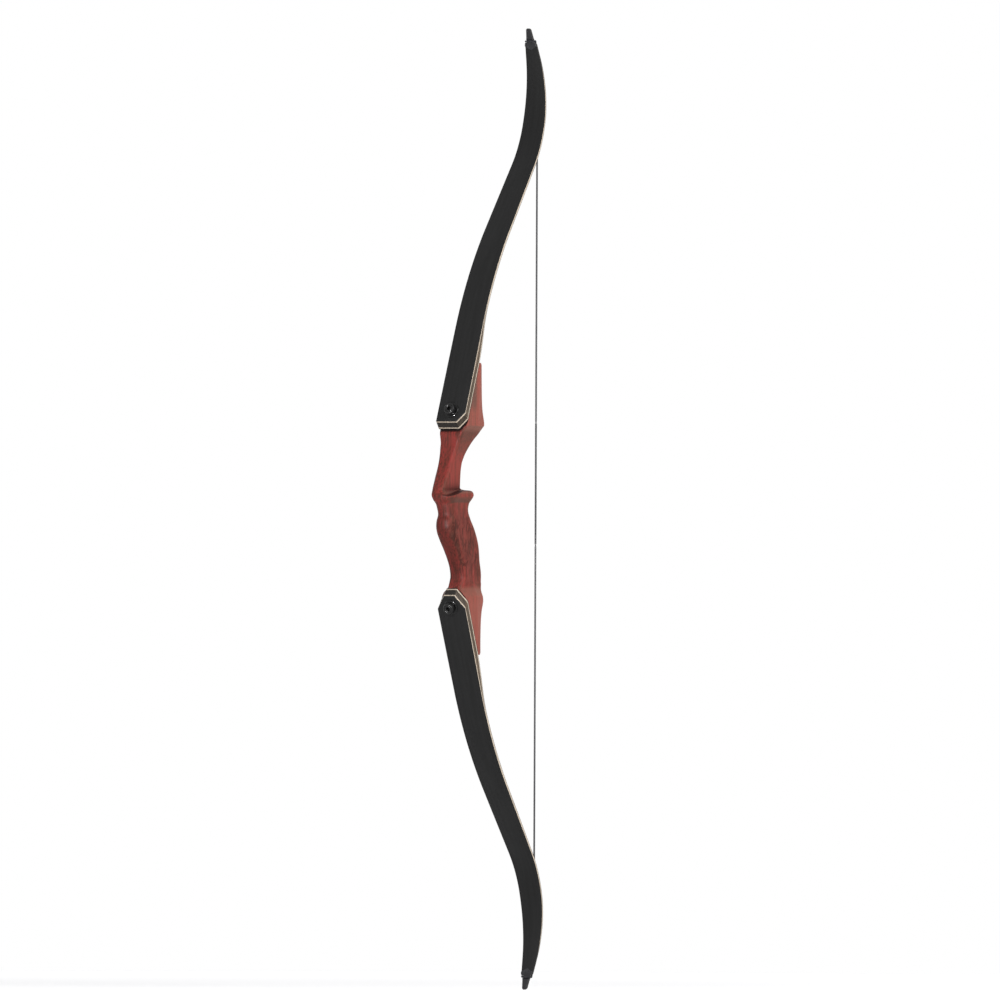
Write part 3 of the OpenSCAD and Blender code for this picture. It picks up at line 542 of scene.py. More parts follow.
def window_edge_cutter():
    """Wedge that rounds the window's front edge above the shelf: what lies outside a quarter circle in plan.
    Its radius grows from nothing at the shelf's front to the window's own, and its edge follows the corner
    that the shelf makes with the window."""
    z = np.linspace(18.6, SHELF_Z + 4, 32)
    own = smooth(BACK_RIGHT_R, np.maximum(z, SHELF_Z + 0.3))
    t = np.clip((z - z[0]) / (SHELF_Z + 2 - z[0]), 0, 1)
    r = 0.2 + (own - 0.2) * (0.4 * ease(t * 4) + 0.6 * t)
    y = smooth(BACK_LINE, z)
    fall = (-SHELF_RUN - y) * math.tan(SHELF_LEAN)
    corner = SHELF_R + fall
    rise = np.clip(1 - (z - SHELF_Z + fall) / corner, 0, 1)
    edge = WINDOW_X + corner * (1 - np.sqrt(1 - rise**2))
    a = np.radians(np.arange(0, 91, 7.5))[None, :]
    arc_x = edge[:, None] - r[:, None] * (1 - np.sin(a))
    arc_y = y[:, None] + r[:, None] * (1 - np.cos(a))
    out = np.stack([[edge + 0.6, y + r + 0.1], [edge + 0.6, y - 1], [edge - r - 0.1, y - 1]])
    x = np.hstack([arc_x, out[:, 0].T])
    y = np.hstack([arc_y, out[:, 1].T])
    return grid_solid("window_edge_cutter", np.stack([x, y, z[:, None] + 0 * x], -1))


def pad_cutter(flip):
    """Block whose face is the flat limb pad."""
    ring = np.array([[-200.0, -60], [200, -60], [200, 340], [-200, 340]])
    block = np.stack([np.column_stack([ring, np.full(4, height)]) for height in (-BUTT_T, 200.0)])
    return grid_solid("pad_cutter", pad_frame(block), flip=flip)


# Limb layers


def limb_steps(last):
    """Places along the limb where the layers get a section, closest round the nock."""
    butt = np.array([0, 0.4, 4, 8, 12, 14.4, 14.8, 17, 19.8, 20.2, 26]) - BUTT_END
    steps = np.concatenate([
        butt, np.arange(15, S_NARROW, 4.0), np.arange(S_NARROW, S_NOCK - 7, 3.0),
        np.arange(S_NOCK - 7, S_NOCK + 5, 0.3), np.arange(S_NOCK + 5, S_END - 4.7, 1.2),
        S_END - TIP_W / 2 * (1 - np.sin(np.radians(np.arange(0, 86, 6)))),
    ])
    return np.append(steps[steps < last - 0.5], last) if last < S_END else steps


def tip_square(s):
    """Share, from 0 to 1, by which a section near the tip lies level instead of square to the limb."""
    return np.clip((s - S_END + 25) / 25, 0, 1)


def layer_points(first, second, out_r, in_r, last, left_cut=None, right_cut=None, overlay=False):
    """Sections of one layer at rising s: a strip between two joints of the stack, as wide as the limb there,
    with its outer and inner edges rounded by out_r and in_r. The butt leans by its bevel and loses its
    corners, each by the two runs of its cut. An overlay lies on the back and ramps up from its V."""
    s = limb_steps(last)
    if overlay:
        start = S_END - OVERLAY_RUN
        ramp_steps = np.array([0.15, 0.8, 1.6, 2.5, 3.5, 4.5, 5.5, 6.5, 8, 9.5, 11])
        s = np.append(start + ramp_steps, s[s > start + 11.5])
        deep = (-OVERLAY_T * (0.16 + 0.84 * ease((s - start) / 8)), 0 * s)
    else:
        deep = (joint_depth(first, s), joint_depth(second, s))
    lean = np.clip(1 - (s + BUTT_END) / 30, 0, 1)

    def place(d):
        level = d * math.tan(TIP) * tip_square(s)[:, None]
        return s[:, None] - BUTT_BEVEL * d / BUTT_T * lean[:, None] + level

    def cut_corner(wide, along, corner):
        if corner is None:
            return wide
        return np.minimum(wide, LIMB_W / 2 - corner[0] * np.clip(1 - along / corner[1], 0, 1))

    halves = []
    for d in deep:
        column = d[:, None]
        wide = half_width(inside(place(column), column)[..., 1])[:, 0]
        if overlay:
            low, full = back(start)[1], back(start + OVERLAY_V)[1]
            wide = np.minimum(wide, SHOULDER_W * (back(s)[:, 1] - low) / (full - low))
        along = s + BUTT_END + BUTT_BEVEL * d / BUTT_T * (1 - lean)
        halves.append([cut_corner(wide, along, corner) for corner in (left_cut, right_cut)])
    (left_a, right_a), (left_b, right_b) = halves
    room = np.maximum(deep[1] - deep[0], 1e-3)
    r0 = np.minimum(np.minimum(out_r, room * 0.45), right_a * 0.5)[:, None]
    r1 = np.minimum(np.minimum(in_r, room * 0.45), right_b * 0.5)[:, None]
    q = np.linspace(0, np.pi / 2, 5)[None, :]
    c, sn = np.cos(q), np.sin(q)
    x = np.hstack([
        -(left_a[:, None] - r0) - r0 * c, ((right_a[:, None] - r0) + r0 * c)[:, ::-1],
        (right_b[:, None] - r1) + r1 * c, (-(left_b[:, None] - r1) - r1 * c)[:, ::-1],
    ])
    outer = deep[0][:, None] + r0 - r0 * sn
    inner = deep[1][:, None] - r1 + r1 * sn
    d = np.hstack([outer, outer[:, ::-1], inner, inner[:, ::-1]])
    run = place(d)
    points = np.concatenate([x[..., None], inside(run, d)], -1)
    across = x + np.sign(x) * (d - deep[0][:, None])
    uv = np.stack([run, across], -1)
    uv = np.concatenate([uv, uv[:, :1]], 1) * 0.001
    cap_uv = np.stack([np.stack([d[k], x[k]], -1) for k in (0, -1)]) * 0.001
    return points, uv, cap_uv


# String


def belly(s, lift):
    """(y, z) at a height lift off the limb's belly."""
    return inside(s, thick(s) + lift)


LIFT = STRING_GAP + SERVING_D / 2
STRING_Y, CROWN_Z = belly(S_CROWN, LIFT)


def string_path(end_z):
    """Route of half the string: along the belly from the loop to the crown of the recurve, then straight."""
    wrapped = belly(np.linspace(S_STRING, S_CROWN, 120), LIFT)
    return np.vstack([wrapped[:-1], [[STRING_Y, CROWN_Z], [STRING_Y, end_z]]])


def part_of(path, start, stop, step):
    """Stretch of a path between two running lengths, in equal steps, with its running length."""
    run = np.concatenate([[0], np.cumsum(np.linalg.norm(np.diff(path, axis=0), axis=1))])
    stop = run[-1] + stop if stop <= 0 else stop
    at = np.linspace(start, stop, int(round((stop - start) / step)) + 1)
    return np.column_stack([np.interp(at, run, path[:, k]) for k in (0, 1)]), at, run[-1]


# Materials


def plug(tree, socket, value):
    """Links a socket to an input, or sets the input's own value."""
    if isinstance(value, bpy.types.NodeSocket):
        tree.links.new(value, socket)
    else:
        socket.default_value = value


def add(tree, kind, settings=None, inputs=None):
    """Adds a node with its settings, and plugs its inputs by name or number."""
    node = tree.nodes.new(kind)
    for key, value in (settings or {}).items():
        setattr(node, key, value)
    for key, value in (inputs or {}).items():
        plug(tree, node.inputs[key], value)
    return node


def maths(tree, what, a, b=0.0, c=0.0):
    """One Math node's value."""
    return add(tree, "ShaderNodeMath", {"operation": what}, {0: a, 1: b, 2: c}).outputs[0]


def times(tree, a, b):
    """Product of two values."""
    return maths(tree, "MULTIPLY", a, b)


def blend_colour(tree, share, a, b):
    """Mix of two colours by a share from 0 to 1."""
    node = add(tree, "ShaderNodeMix", {"data_type": "RGBA", "clamp_factor": True})
    for socket, value in ((0, share), (6, a), (7, b)):
        plug(tree, node.inputs[socket], value)
    return node.outputs[2]


def lay_over(tree, colour, layers):
    """Lays tints over a colour one after another. A layer is its share and its tint."""
    for share, tint_colour in layers:
        colour = blend_colour(tree, share, colour, tint_colour)
    return colour


def ramp(tree, value, low, high, out_low=0.0, out_high=1.0):
    """Smooth step of a value between two limits."""
    node = add(tree, "ShaderNodeMapRange", {"interpolation_type": "SMOOTHSTEP", "clamp": True},
               {"Value": value, "From Min": low, "From Max": high, "To Min": out_low, "To Max": out_high})
    return node.outputs["Result"]


def stretched(tree, vector, scale, size, detail=3.0, rough=0.55, warp=0.0):
    """Noise on a vector that has been scaled along each axis."""
    placed = add(tree, "ShaderNodeMapping", {"vector_type": "POINT"}, {"Vector": vector, "Scale": scale})
    return add(tree, "ShaderNodeTexNoise", None, {
        "Vector": placed.outputs[0], "Scale": size, "Detail": detail, "Roughness": rough, "Distortion": warp,
    }).outputs["Fac"]


def tint(colour, factor=1.0, lift=0.0):
    """Colour times a factor plus a lift, held at 1, as the four numbers of a socket."""
    return tuple(min(1.0, c * factor + lift) for c in tuple(colour)[:3]) + (1.0,)


def new_group(name, ins, outs):
    """Node group with named sockets: inputs by label, kind and default, outputs by label and kind."""
    group = bpy.data.node_groups.new(name, "ShaderNodeTree")
    for label, kind, value in ins:
        made = group.interface.new_socket(label, in_out="INPUT", socket_type="NodeSocket" + kind)
        if value is not None:
            made.default_value = value
    for label, kind in outs:
        group.interface.new_socket(label, in_out="OUTPUT", socket_type="NodeSocket" + kind)
    return group, add(group, "NodeGroupInput").outputs, add(group, "NodeGroupOutput").inputs


def built_once(build):
    """Turns a function that builds a group into one that gives the same group to every material."""

    def shared():
        return bpy.data.node_groups.get(build.__name__) or build(build.__name__)

    return shared


@built_once
def wood_grain(name):
    """Straight grain that runs along z of its vector: colour bands, growth lines that curve where the wood
    is carved, fine streaks and short dark pores. Puts out the colour and a height."""
    group, ins, outs = new_group(name, [
        ("Vector", "Vector", None),
        ("Body", "Color", (0.3, 0.1, 0.08, 1)),
        ("Light", "Color", (0.5, 0.2, 0.15, 1)),
        ("Dark", "Color", (0.1, 0.04, 0.03, 1)),
        ("Band Size", "Float", 90.0),
        ("Line Size", "Float", 30.0),
        ("Streak Size", "Float", 700.0),
        ("Lines", "Float", 0.4),
        ("Streaks", "Float", 0.5),
        ("Pores", "Float", 0.5),
    ], [("Color", "Color"), ("Height", "Float")])
    v, dark, light = ins["Vector"], ins["Dark"], ins["Light"]
    bands = stretched(group, v, (1, 0.55, 0.05), ins["Band Size"], 3, 0.6, 0.3)
    sway = stretched(group, v, (1, 1, 0.22), 22.0, 2, 0.5)
    eddy = stretched(group, v, (1, 1, 0.45), 60.0, 2, 0.5)
    parts = add(group, "ShaderNodeSeparateXYZ", None, {0: v}).outputs
    across = maths(group, "MULTIPLY_ADD", parts[1], 0.6, parts[0])
    across = maths(group, "ADD", across, maths(group, "MULTIPLY_ADD", sway, 0.055, -0.0275))
    across = maths(group, "MULTIPLY_ADD", eddy, 0.009, across)
    lines = maths(group, "POWER", maths(group, "FRACT", times(group, across, ins["Line Size"])), 3.0)
    streaks = stretched(group, v, (1, 1, 0.028), ins["Streak Size"], 3, 0.65)
    pores = ramp(group, stretched(group, v, (1, 1, 0.05), 1500.0, 2, 0.5), 0.6, 0.74)
    colour = lay_over(group, ins["Body"], [
        (ramp(group, bands, 0.4, 0.66), light),
        (times(group, ramp(group, bands, 0.48, 0.3), 0.55), dark),
        (times(group, lines, ins["Lines"]), dark),
        (times(group, ramp(group, streaks, 0.5, 0.72), ins["Streaks"]), light),
        (times(group, ramp(group, streaks, 0.5, 0.3), ins["Streaks"]), dark),
        (times(group, pores, ins["Pores"]), dark),
    ])
    plug(group, outs["Color"], colour)
    plug(group, outs["Height"], maths(group, "MULTIPLY_ADD", pores, -1.0, times(group, streaks, 0.5)))
    return group


@built_once
def handling_marks(name):
    """Faint smudges from hands and cloths: one value that varies over the surface between two levels."""
    group, ins, outs = new_group(name, [
        ("Vector", "Vector", None),
        ("Size", "Float", 40.0),
        ("Low", "Float", 0.3),
        ("High", "Float", 0.5),
    ], [("Value", "Float")])
    broad = stretched(group, ins["Vector"], (1, 1, 0.6), ins["Size"], 4, 0.6, 0.4)
    fine = stretched(group, ins["Vector"], (1, 1, 1), 900.0, 2, 0.5)
    mixed = maths(group, "MULTIPLY_ADD", fine, 0.3, times(group, broad, 0.7))
    plug(group, outs["Value"], ramp(group, mixed, 0.32, 0.68, ins["Low"], ins["High"]))
    return group


@built_once
def fibres(name):
    """Fine parallel fibres along u of a UV map: colour share and height."""
    group, ins, outs = new_group(name, [
        ("Vector", "Vector", None),
        ("Pitch", "Float", 1500.0),
    ], [("Share", "Float"), ("Height", "Float")])
    fine = stretched(group, ins["Vector"], (0.02, 1, 1), ins["Pitch"], 3, 0.7)
    broad = stretched(group, ins["Vector"], (0.06, 1, 1), 160.0, 2, 0.5)
    share = maths(group, "MULTIPLY_ADD", broad, 0.5, times(group, fine, 0.5))
    plug(group, outs["Share"], ramp(group, share, 0.36, 0.64))
    plug(group, outs["Height"], fine)
    return group


@built_once
def corner_dirt(name):
    """Share of the painted shade in corners, by how much of the view is closed off within a reach
    in metres."""
    group, ins, outs = new_group(name, [
        ("Reach", "Float", 0.01),
        ("Strength", "Float", 0.9),
    ], [("Share", "Float")])
    view = add(group, "ShaderNodeAmbientOcclusion", {"samples": 8}, {"Distance": ins["Reach"]}).outputs["AO"]
    plug(group, outs["Share"], ramp(group, view, 0.9, 0.6, 0.0, ins["Strength"]))
    return group


@built_once
def end_grain(name):
    """Share of a wood's end grain, which grows as the normal turns from across the bow to along it."""
    group, ins, outs = new_group(name, [
        ("Normal", "Vector", None),
        ("Start", "Float", 0.3),
        ("End", "Float", 0.9),
        ("Least", "Float", 0.0),
        ("Most", "Float", 1.0),
    ], [("Share", "Float")])
    parts = add(group, "ShaderNodeSeparateXYZ", None, {0: ins["Normal"]}).outputs
    along = maths(group, "ABSOLUTE", parts[2])
    plug(group, outs["Share"], ramp(group, along, ins["Start"], ins["End"], ins["Least"], ins["Most"]))
    return group


def group_node(tree, group, **inputs):
    """Places a shared group with this material's own values."""
    node = add(tree, "ShaderNodeGroup", {"node_tree": group})
    for key, value in inputs.items():
        plug(tree, node.inputs[key.replace("_", " ").title()], value)
    return node.outputs


def smudges(tree, where, size, low, high):
    """Value of the handling marks between two levels."""
    return group_node(tree, handling_marks(), vector=where["Object"], size=size, low=low, high=high)["Value"]


def material(name):
    """New material. Gives the material, its tree, its Principled shader's inputs and the coordinates."""
    made = bpy.data.materials.new(name)
    made.use_nodes = True
    tree = made.node_tree
    shader = next(n for n in tree.nodes if n.type == "BSDF_PRINCIPLED")
    where = add(tree, "ShaderNodeTexCoord").outputs
    return made, tree, shader.inputs, where


def set_surface(tree, shader, colour, roughness, height, depth):
    """Plugs a shader's colour and roughness, and a bump on its normal that stands depth metres high."""
    bump = add(tree, "ShaderNodeBump", None, {"Strength": 1.0, "Distance": depth, "Height": height})
    for socket, value in (("Base Color", colour), ("Roughness", roughness), ("Normal", bump.outputs[0])):
        plug(tree, shader[socket], value)


def overhang_shadow(tree, reach, strength):
    """Share of the dark line below a piece that overhangs this one: how much it closes off of the view
    straight up within a reach in metres, beyond what this piece's own shape does."""
    up = add(tree, "ShaderNodeCombineXYZ", None, {2: 1.0}).outputs[0]
    whole_view, own_view = [
        add(tree, "ShaderNodeAmbientOcclusion", {"samples": 16, "only_local": own},
            {"Distance": reach, "Normal": up}).outputs["AO"]
        for own in (False, True)
    ]
    return ramp(tree, maths(tree, "SUBTRACT", own_view, whole_view), 0.02, 0.12, 0.0, strength)


def seen_directly(tree):
    """1 for rays that show a surface in the picture or a reflection, 0 for those that carry its light."""
    ray = add(tree, "ShaderNodeLightPath").outputs
    seen = maths(tree, "MAXIMUM", ray["Is Camera Ray"], ray["Is Glossy Ray"])
    return maths(tree, "MAXIMUM", seen, ray["Is Transmission Ray"])


def riser_wood(look):
    """Oiled red hardwood with straight grain and pores. Right-facing faces are browner, more so as they turn
    up or down the bow, and faces that turn fully up or down it show dark end grain. Right-facing
    undersides carry painted shade, and the grip is dark, in blotches, where hands hold it. The flanks of
    the limb pads carry painted light, with a dark growth band on the upper one. Corners carry painted
    shade, and so does a strip below a piece that overhangs this one. Where it curves out of view the wood
    carries painted shade to the left and a painted sheen to the right."""
    made, tree, shader, where = material("riser_wood")
    here = where["Object"]
    normal = add(tree, "ShaderNodeNewGeometry").outputs["Normal"]
    right, _, rise = add(tree, "ShaderNodeSeparateXYZ", None, {0: normal}).outputs
    _, depth, place = add(tree, "ShaderNodeSeparateXYZ", None, {0: here}).outputs
    turning = add(tree, "ShaderNodeLayerWeight", None, {"Blend": 0.5}).outputs["Facing"]
    grain = group_node(tree, wood_grain(), vector=here, body=tint(look.body), light=tint(look.light),
                       dark=tint(look.dark), band_size=look.band_size, line_size=290.0, streak_size=430.0,
                       lines=look.lines, streaks=0.9, pores=0.5)
    side = ramp(tree, right, 0.4, 0.8)
    sloping = group_node(tree, end_grain(), normal=normal, start=0.12, end=0.65, least=0.2,
                         most=look.end_grain * 0.75)
    ends = group_node(tree, end_grain(), normal=normal, start=0.7, end=0.95, most=look.end_grain)
    # Painted shade: right-facing faces that turn down are darker.
    under = ramp(tree, rise, -0.1, -0.55, 0.0, 0.6)
    # Painted light: the flanks of the limb pads that face right are paler.
    pads = ramp(tree, maths(tree, "ABSOLUTE", place), 0.114, 0.122)
    flank = times(tree, pads, ramp(tree, right, 0.5, 0.85, 0.0, look.flank))
    band = times(tree, ramp(tree, depth, 0.001, -0.005, 0.0, 0.7), ramp(tree, place, 0.142, 0.16))
    band = times(tree, band, ramp(tree, right, 0.5, 0.85))
    blotches = stretched(tree, here, (1, 1, 0.5), 130.0, 4, 0.65, 0.8)
    blotches = ramp(tree, blotches, 0.36, 0.64, -look.figure, look.figure)
    blotches = maths(tree, "MULTIPLY_ADD", blotches, ramp(tree, right, 0.3, 0.7), 1.0)
    held = times(tree, ramp(tree, place, -0.13, -0.08), ramp(tree, place, 0.03, -0.03))
    held = times(tree, held, times(tree, blotches, look.held))
    # Painted shade and sheen: where the surface turns out of view it is darker to the left and paler to the
    # right.
    painted_edge_shade = times(tree, ramp(tree, turning, 0.55, 0.95, 0.0, 0.7), ramp(tree, right, 0.6, 0.1))
    painted_edge_sheen = times(tree, ramp(tree, turning, 0.4, 0.85, 0.0, 0.45), ramp(tree, right, 0.3, 0.8))
    # Painted shade in the corners and hollows, such as the pocket by the shelf.
    dirt = group_node(tree, corner_dirt(), reach=0.03, strength=look.dirt)
    colour = lay_over(tree, grain["Color"], [
        (times(tree, sloping["Share"], side), (0.14, 0.062, 0.044, 1)),
        (times(tree, under, side), (0.05, 0.028, 0.02, 1)),
        (flank, (0.42, 0.16, 0.12, 1)),
        (band, (0.11, 0.066, 0.05, 1)),
        (maths(tree, "MAXIMUM", ends["Share"], held), (0.03, 0.008, 0.006, 1)),
        (painted_edge_shade, (0.045, 0.022, 0.018, 1)),
        (painted_edge_sheen, (0.3, 0.14, 0.1, 1)),
        (dirt["Share"], (0.03, 0.006, 0.005, 1)),
        (overhang_shadow(tree, 0.005, look.dirt), (0.005, 0.002, 0.002, 1)),
    ])
    marks = smudges(tree, where, 38.0, look.gloss - 0.06, look.gloss + 0.08)
    set_surface(tree, shader, colour, marks, grain["Height"], 0.00006)
    shader["Specular IOR Level"].default_value = 0.07
    return made


def strip_wood(name, colour, lighter, darker, streaks, gloss, end_dark, tip_dark):
    """Sealed wood strip in the limb. Its grain runs along the strip by the piece's own UV map, with streaks
    that are the colour times lighter and darker. End grain, which faces along the bow, is darker by
    end_dark, and the last stretch to the tip is stained by tip_dark."""
    made, tree, shader, where = material(name)
    parts = add(tree, "ShaderNodeSeparateXYZ", None, {0: where["UV"]}).outputs
    along = add(tree, "ShaderNodeCombineXYZ", None, {0: parts[1], 1: 0.0, 2: parts[0]}).outputs[0]
    grain = group_node(tree, wood_grain(), vector=along, body=tint(colour), light=tint(colour, lighter),
                       dark=tint(colour, darker), band_size=260.0, line_size=700.0, streak_size=1800.0,
                       lines=0.18, streaks=streaks, pores=0.3)
    normal = add(tree, "ShaderNodeNewGeometry").outputs["True Normal"]
    ends = group_node(tree, end_grain(), normal=normal, start=0.25, end=0.5, most=end_dark)
    stain = ramp(tree, parts[0], 0.545, 0.59, 0.0, tip_dark)
    shade = maths(tree, "MAXIMUM", ends["Share"], stain)
    tone = blend_colour(tree, shade, grain["Color"], (0.012, 0.01, 0.009, 1))
    marks = smudges(tree, where, 60.0, gloss - 0.05, gloss + 0.06)
    set_surface(tree, shader, tone, marks, grain["Height"], 0.00003)
    shader["Specular IOR Level"].default_value = 0.15
    return made


def limb_glass(look):
    """Black glass-fibre facing: fine fibres along the limb under a satin surface."""
    made, tree, shader, where = material("limb_glass")
    strands = group_node(tree, fibres(), vector=where["UV"], pitch=1500.0)
    tone = blend_colour(tree, strands["Share"], tint(look.facing, 0.72), tint(look.facing))
    marks = smudges(tree, where, 26.0, look.gloss - 0.05, look.gloss + 0.07)
    set_surface(tree, shader, tone, marks, strands["Height"], 0.00002)
    shader["Specular IOR Level"].default_value = 0.12
    return made


def worked_metal(name, colour, metallic, gloss, spread, shine=0.5, dirt=0.0):
    """Turned metal or its finish: plain colour with faint marks in its gloss and a very fine grain, and
    painted shade in its corners."""
    made, tree, shader, where = material(name)
    marks = smudges(tree, where, 320.0, gloss, gloss + spread)
    worn = ramp(tree, marks, gloss, gloss + spread)
    tone = blend_colour(tree, worn, tint(colour), tint(colour, 1.35, 0.002))
    # Painted shade in the corners, such as round the knob's foot.
    if dirt:
        corners = group_node(tree, corner_dirt(), reach=0.005, strength=dirt)
        tone = blend_colour(tree, corners["Share"], tone, (0, 0, 0, 1))
    fine = stretched(tree, where["Object"], (1, 1, 1), 2600.0, 2, 0.6)
    set_surface(tree, shader, tone, marks, fine, 0.000008)
    shader["Metallic"].default_value = metallic
    shader["Specular IOR Level"].default_value = shine
    return made


def tip_plate(colour):
    """Polished black plate with a trace of its paper layers."""
    made, tree, shader, where = material("tip_plate")
    layers = group_node(tree, fibres(), vector=where["UV"], pitch=900.0)
    tone = blend_colour(tree, layers["Share"], tint(colour), tint(colour, 1.7))
    marks = smudges(tree, where, 120.0, 0.2, 0.34)
    set_surface(tree, shader, tone, marks, layers["Height"], 0.00001)
    shader["Coat Weight"].default_value = 0.1
    shader["Coat Roughness"].default_value = 0.12
    shader["Specular IOR Level"].default_value = 0.25
    return made


def thread(name, colour, light_share, gloss, pitch):
    """Waxed polyester: fibres along the strand, a little fuzz and a soft sheen."""
    made, tree, shader, where = material(name)
    strands = group_node(tree, fibres(), vector=where["UV"], pitch=pitch)
    light = tint(colour, 1 - light_share, 0.6 * light_share)
    tone = blend_colour(tree, strands["Share"], tint(colour), light)
    marks = smudges(tree, where, 200.0, gloss, gloss + 0.16)
    set_surface(tree, shader, tone, marks, strands["Height"], 0.00002)
    shader["Sheen Weight"].default_value = 0.15
    shader["Sheen Roughness"].default_value = 0.4
    return made


def finish_with(obj, made):
    """Gives a piece its material."""
    obj.data.materials.clear()
    obj.data.materials.append(made)
    return obj


# Settings that a user would change

COLOUR = {"subtype": "COLOR", "size": 3, "min": 0, "max": 1}
SHARE = {"subtype": "FACTOR", "min": 0, "max": 1}
GLOSS = {"subtype": "FACTOR", "min": 0.1, "max": 1}
LENGTH = {"subtype": "DISTANCE", "unit": "LENGTH"}


class BowWoodLook(bpy.types.PropertyGroup):
    """Colours and grain of the riser."""

    body: FloatVectorProperty(name="Body colour", description="Main colour of the riser's wood",
                              default=(0.2, 0.039, 0.029), **COLOUR)
    light: FloatVectorProperty(name="Bright streaks", description="Colour of the bright red streaks",
                               default=(0.3, 0.043, 0.036), **COLOUR)
    dark: FloatVectorProperty(name="Dark lines", description="Colour of the pores and growth lines",
                              default=(0.062, 0.024, 0.016), **COLOUR)
    band_size: FloatProperty(name="Band density", description="Colour bands per metre across the grain",
                             min=10, max=400, default=165)
    lines: FloatProperty(name="Growth lines", description="Strength of the growth lines",
                         default=0.55, **SHARE)
    end_grain: FloatProperty(name="End grain", description="Darkness of the end grain",
                             default=0.85, **SHARE)
    held: FloatProperty(name="Handled grip", description="Darkness of the wood that hands hold",
                        default=0.42, **SHARE)
    figure: FloatProperty(name="Figure", description="Strength of the blotches on the grip's flank",
                          default=0.75, **SHARE)
    # Strength of the painted light on the flanks of the limb pads.
    flank: FloatProperty(name="Pale flanks", description="Paleness of the flanks of the limb pads",
                         default=0.3, **SHARE)
    # Strength of the painted shade in corners and of the painted shadow below overhanging pieces.
    dirt: FloatProperty(name="Painted shade in corners", description="Darkness of the corners", default=0.95, **SHARE)
    gloss: FloatProperty(name="Roughness", description="Middle roughness of the oiled surface",
                         default=0.5, **GLOSS)


class BowLimbLook(bpy.types.PropertyGroup):
    """Colours and edges of the limbs."""

    facing: FloatVectorProperty(name="Facing colour", description="Colour of the black facings",
                                default=(0.0165, 0.0165, 0.0165), **COLOUR)
    core: FloatVectorProperty(name="Pale lamination", description="Colour of the pale wood strips",
                              default=(0.56, 0.47, 0.37), **COLOUR)
    wedge: FloatVectorProperty(name="Wedge colour", description="Colour of the brown wedge",
                               default=(0.085, 0.062, 0.042), **COLOUR)
    gloss: FloatProperty(name="Roughness", description="Middle roughness of the facings",
                         default=0.5, **GLOSS)
    edge: FloatProperty(name="Edge round", description="Rounding of the facings' outer edges",
                        min=0.0001, max=0.0008, default=0.0004, **LENGTH)


class BowStringLook(bpy.types.PropertyGroup):
    """Colours and twist of the string."""

    strand: FloatVectorProperty(name="Strand colour", description="Colour of the bare strands",
                                default=(0.020, 0.020, 0.023), **COLOUR)
    serving: FloatVectorProperty(name="Serving colour", description="Colour of the wound thread",
                                 default=(0.012, 0.012, 0.014), **COLOUR)
    lay: FloatProperty(name="Twist", description="Length of one turn of the strands",
                       min=0.01, max=0.2, default=0.034, **LENGTH)
    pitch: FloatProperty(name="Thread", description="Thickness of the serving thread",
                         min=0.0004, max=0.001, default=0.0006, **LENGTH)


class BowStudioLook(bpy.types.PropertyGroup):
    """Camera and studio."""

    turn: FloatProperty(name="Camera turn", description="Turn of the camera from the bow's back",
                        subtype="ANGLE", unit="ROTATION", min=-math.pi, max=math.pi,
                        default=math.radians(32))
    view_height: FloatProperty(name="View height", description="Height of the view at the bow",
                               min=1.0, max=3.0, default=1.505, **LENGTH)
    floor: FloatVectorProperty(name="Floor colour", description="Colour of the floor",
                               default=(0.9, 0.9, 0.9), **COLOUR)
    key: FloatProperty(name="Key light", description="Power of the key light", subtype="POWER", unit="POWER",
                       min=0, max=1000, default=62)


# Operators, one for each piece or group of like pieces


class BOW_OT_riser(bpy.types.Operator):
    """Carve the riser from its template, cut the arrow shelf, the limb pads and their holes"""

    bl_idname = "bow.riser"
    bl_label = "Riser"

    def execute(self, context):
        riser = grid_solid("riser_carved", riser_points(), crease=26)
        cutters = [shelf_cutter(), window_edge_cutter()]
        for side, flip in SIDES:
            cutters += [
                pad_cutter(flip),
                drill(side + "_insert_hole", INSERT_D, -BUTT_T - THREAD_RUN - FIT_GAP, -BUTT_T + 2, flip),
                drill(side + "_pin_hole", PIN_D, -BUTT_T - PIN_DEEP, -BUTT_T + 2, flip, PIN_S),
            ]
        cut(riser, cutters, 26)
        finish_with(riser, riser_wood(context.scene.bow_wood))
        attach(riser, "handle")
        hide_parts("riser")
        return {"FINISHED"}


